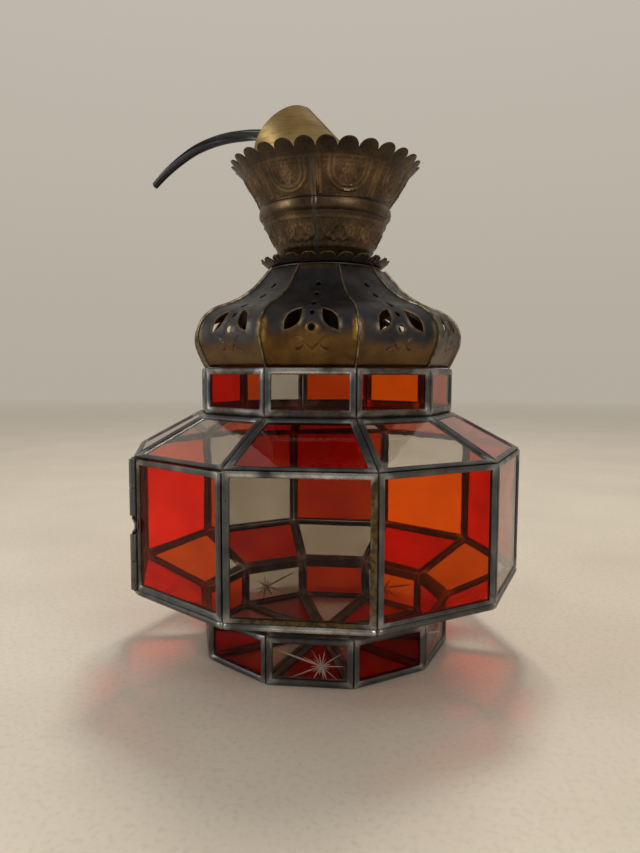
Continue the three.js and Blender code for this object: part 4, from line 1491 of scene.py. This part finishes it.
def crown_lines(angles, heights):
    """Height from 0 to 1 of the crown's raised lines, at each of some points."""
    lines = np.zeros(len(angles))
    for count, radius, band, curves, width in (
        (MEDALLIONS, MEDALLION_RADIUS, UPPER_BAND, medallion_curves, 0.55),
        (SCROLLS, SCROLL_RADIUS, LOWER_BAND, scroll_curves, 0.5),
    ):
        pitch = 2 * math.pi / count
        mirrored = np.where(np.floor(angles / pitch) % 2 == 0, 1.0, -1.0)
        sideways = ((angles / pitch) % 1.0 - 0.5) * mirrored * pitch * radius
        here = in_band(heights, band)
        xy = np.stack([sideways, heights], 1)[here]
        lines[here] = ridge(xy, dense(curves(pitch * radius)), width)
    for height in BORDER_HEIGHTS:
        lines = np.maximum(lines, 0.7 * np.exp(-((heights - height) / 0.45) ** 2))
    lining = in_band(heights, UPPER_BAND) & (heights > LINING_FOOT)
    lines[lining] = np.maximum(lines[lining], 0.35 * np.maximum(0, np.sin(heights[lining] * 4.2)))
    return lines


def stipple(point):
    """The fine, uneven punching of the crown's wall, from 0 to 1."""
    return max(0.0, noise.noise(point / 0.9)) * 0.5 + max(0.0, noise.noise(point / 2.1)) * 0.5


def scallop_share(phase, notch):
    """How far the edge reaches, from the notch beside a scallop to its full 1, across one scallop."""
    across = min(1.0, abs(2 * phase - 1) * 1.04)
    return notch + (1 - notch) * math.sqrt(1 - across ** 2)


def crown_rows():
    """Rows of the crown's sheet: a point of its profile, how far it is out on the lip, and its normal."""
    wall = spline(CROWN_WALL, 110)
    root = wall[-1]
    line = wall + [root.lerp(CROWN_TIP, k / LIP_ROWS) for k in range(1, LIP_ROWS + 1)]
    rows = []
    for k, point in enumerate(line):
        ahead = (line[min(k + 1, len(line) - 1)] - line[max(k - 1, 0)]).normalized()
        beyond = max(0, k - len(wall) + 1) / LIP_ROWS
        rows.append((root if beyond else point, beyond, Vector((ahead.y, -ahead.x))))
    return rows


def make_crown():
    places = []
    rows = crown_rows()
    for row, beyond, normal in rows:
        for column in range(CROWN_COLUMNS):
            turn = column / CROWN_COLUMNS
            phase = (turn * CROWN_SCALLOPS) % 1.0
            share = scallop_share(phase, CROWN_NOTCH)
            place = row.lerp(CROWN_TIP, beyond * share)
            curl = 1.1 * beyond ** 2 * share
            places.append((2 * math.pi * turn, place.x + curl * 0.35, place.y - curl, normal, beyond, phase))
    lines = crown_lines(np.array([place[0] for place in places]), np.array([place[2] for place in places]))
    points, relief, solder = [], [], []
    for line, (angle, radius, height, normal, beyond, phase) in zip(lines, places):
        out, _ = facing(angle)
        point = out * radius + Vector((0, 0, height))
        dimple = 0.0 if beyond or in_band(height, BEAD_BAND) else stipple(point)
        push = RELIEF_HEIGHT * line * (0.6 + 0.8 * max(0.0, noise.noise(point / 11)))
        push += STIPPLE_HEIGHT * dimple
        cupped = beyond * (0.9 * math.sin(math.pi * phase) - 0.45)
        from_seam = (angle - CROWN_SEAM_ANGLE + math.pi) % (2 * math.pi) - math.pi
        seam = 0.0 if beyond else 1 - smooth_step(0.8, 1.5, abs(from_seam) * radius)
        push = push * (1 - seam) + 0.55 * seam + cupped - 0.5 + 0.5 * noise.noise(point / 26)
        points.append(point + out * normal.x * push + Vector((0, 0, normal.y * push)))
        on_bead = 1 - smooth_step(2.2, 4.0, abs(height - BEAD_MIDDLE))
        paler = 0.5 + 0.5 * noise.noise(point / 15 + Vector((0, 0, 40)))
        # Rubbed brass on the raised lines and in random patches, plus painted glints: the bead and the
        # punched stipple are painted lighter, as if catching the light.
        relief.append(min(1.0, paler * (0.65 * line + 0.35 * on_bead + 0.2 * paler + 0.9 * dimple)))
        solder.append(0.7 * seam)
    faces = grid_faces(len(rows), CROWN_COLUMNS, False, True)
    piece = make_mesh("embossed_crown", points, faces, CROWN, 60, relief=relief, solder=solder)
    thicken(piece, CROWN_SHEET, -1)
    belongs(piece, "body", "crown_brass", "crown")


COLLAR_SHEET = 0.6
COLLAR_SCALLOPS = 22
COLLAR_NOTCH = 0.3
COLLAR_COLUMNS = COLLAR_SCALLOPS * 24
COLLAR_FOOT = 289.1
COLLAR_ROOT = Vector((43.6, 289.5))
COLLAR_TIP = Vector((49.6, 295.2))


def make_collar():
    """The ruffled collar: a flat foot, then a ring of outward petals, each folded into ribs."""
    rows = [(Vector((radius, COLLAR_FOOT)), 0.0) for radius in np.linspace(31.4, 42.6, 8)]
    rows += [(COLLAR_ROOT, k / 8) for k in range(9)]
    points, bronze = [], []
    for row, beyond in rows:
        for column in range(COLLAR_COLUMNS):
            turn = column / COLLAR_COLUMNS
            phase = (turn * COLLAR_SCALLOPS) % 1.0
            place = row.lerp(COLLAR_TIP, beyond * scallop_share(phase, COLLAR_NOTCH))
            rib = abs(math.sin(3 * math.pi * phase)) * 0.9 * beyond
            out, _ = facing(2 * math.pi * turn)
            points.append(out * (place.x + 0.6 * rib - 0.5 * beyond) + Vector((0, 0, place.y - 0.6 * rib)))
            bronze.append(min(1.0, 0.15 + 0.7 * rib))
    faces = grid_faces(len(rows), COLLAR_COLUMNS, False, True)
    piece = make_mesh("ruffled_collar", points, faces, DOME, 60, bronze=bronze)
    thicken(piece, COLLAR_SHEET, 1)
    belongs(piece, "body", "dome_brass", "ruffle_collar")


make_crown()
make_collar()


# ---- Neck, cord grip and lampholder ----

THREAD_PITCH = 1.0
THREAD_DEPTH = 0.5
TUBE_WALL = 1.5
CAP_WALL = 2
SHELL_WALL = 1.6
SCREW_SHEET = 0.35
SCREW_PITCH = 3.2
SCREW_TURNS = 8


def turned_part(node, name, outline, radius, material, slot, segments=64):
    return belongs(lathe(name, rounded(outline, radius), material, segments), "body", slot, node)


def turned_ring(node, name, bore, radius, material, slot, segments=64, setback=0.0):
    """A plain ring with the height of a node and its radius less a setback."""
    low, high = box_mm(node)
    outline = ring_outline(bore, high.x - setback, low.z, high.z)
    return turned_part(node, name, outline, radius, material, slot, segments)


def make_tube(low, high):
    bore = high.x - TUBE_WALL
    thread = [(bore, low.z)]
    for k in range(round((high.z - low.z) / THREAD_PITCH)):
        height = low.z + THREAD_PITCH * k
        thread += [(high.x - THREAD_DEPTH, height), (high.x, height + THREAD_PITCH / 2)]
    thread += [(high.x - THREAD_DEPTH, high.z), (bore, high.z)]
    piece = lathe("hollow_threaded_tube", thread, STEEL, 40, sharp=25)
    belongs(piece, "body", "steel", "threaded_tube")


def make_screw_shell():
    low, high = box_mm("lamp_screw_shell")
    shell = []
    for k in range(SCREW_TURNS):
        height = low.z + SCREW_PITCH * k
        shell += [(high.x - 0.7, height + 0.4), (high.x, height + 1.6)]
    inner = [(radius - SCREW_SHEET, height) for radius, height in reversed(shell)]
    piece = lathe("screw_shell_thread", shell + inner, CONTACT, 64, sharp=60)
    belongs(piece, "body", "contact_brass", "lamp_screw_shell")


def make_fittings():
    tube_low, tube_high = box_mm("threaded_tube")
    neck = tube_high.x + GAP
    plate = turned_ring("neck_plate", "neck_disc", neck, 0.3, DOME, "dome_brass", 96, 1.4)
    set_values(plate, bronze=0.0)
    make_tube(tube_low, tube_high)
    low, high = box_mm("cord_grip")
    turned_part("cord_grip", "cord_grip_block", [
        (0.01, low.z),
        (high.x, low.z),
        (high.x, high.z - 2),
        (high.x - 2, high.z),
        (0.01, high.z),
    ], 0.5, BLACK, "black_plastic")
    low, high = box_mm("lampholder_cap")
    turned_part("lampholder_cap", "lampholder_dome_cap", [
        (neck, high.z),
        (neck, high.z - 7),
        (neck + 3, high.z - 9),
        (high.x - CAP_WALL, low.z + 6),
        (high.x - CAP_WALL, low.z),
        (high.x, low.z),
        (high.x, low.z + 8),
        (high.x - 6, high.z - 6),
        (neck + 3, high.z),
    ], 1.5, BLACK, "black_plastic")
    sleeve_bore = box_mm("lampholder_shell")[1].x - SHELL_WALL
    turned_ring("lampholder_shell", "lampholder_sleeve", sleeve_bore, 0.6, BLACK, "black_plastic")
    turned_ring("lampholder_insulator", "porcelain_insulator", 4.4, 1.0, PORCELAIN, "porcelain")
    make_screw_shell()
    turned_ring("centre_contact", "contact_rivet", 1.2, 0.6, CONTACT, "contact_brass", 32)


NUT_STEPS = 8
NUT_CHAMFER = 0.5


def make_nut():
    """A hexagon nut: rings of points up its outside, with chamfered ends, then down its bore."""
    low, high = box_mm("neck_nut")
    bore = box_mm("threaded_tube")[1].x + GAP
    rings = [
        (0.93, low.z),
        (1.0, low.z + NUT_CHAMFER),
        (1.0, high.z - NUT_CHAMFER),
        (0.93, high.z),
    ]
    columns = 6 * NUT_STEPS
    angles = [k * math.pi / 3 for k in range(7)]
    corners = [Vector((high.y * math.sin(angle), high.y * math.cos(angle), 0)) for angle in angles]
    points = []
    for share, height in rings:
        for start, end in zip(corners, corners[1:]):
            for k in range(NUT_STEPS):
                points.append(start.lerp(end, k / NUT_STEPS) * share + Vector((0, 0, height)))
    for height in (high.z, low.z):
        for k in range(columns):
            angle = 2 * math.pi * k / columns
            points.append(Vector((bore * math.sin(angle), bore * math.cos(angle), height)))
    piece = make_mesh("hexagon_nut", points, grid_faces(6, columns, True, True), STEEL, 30)
    belongs(piece, "body", "steel", "neck_nut")


make_fittings()
make_nut()
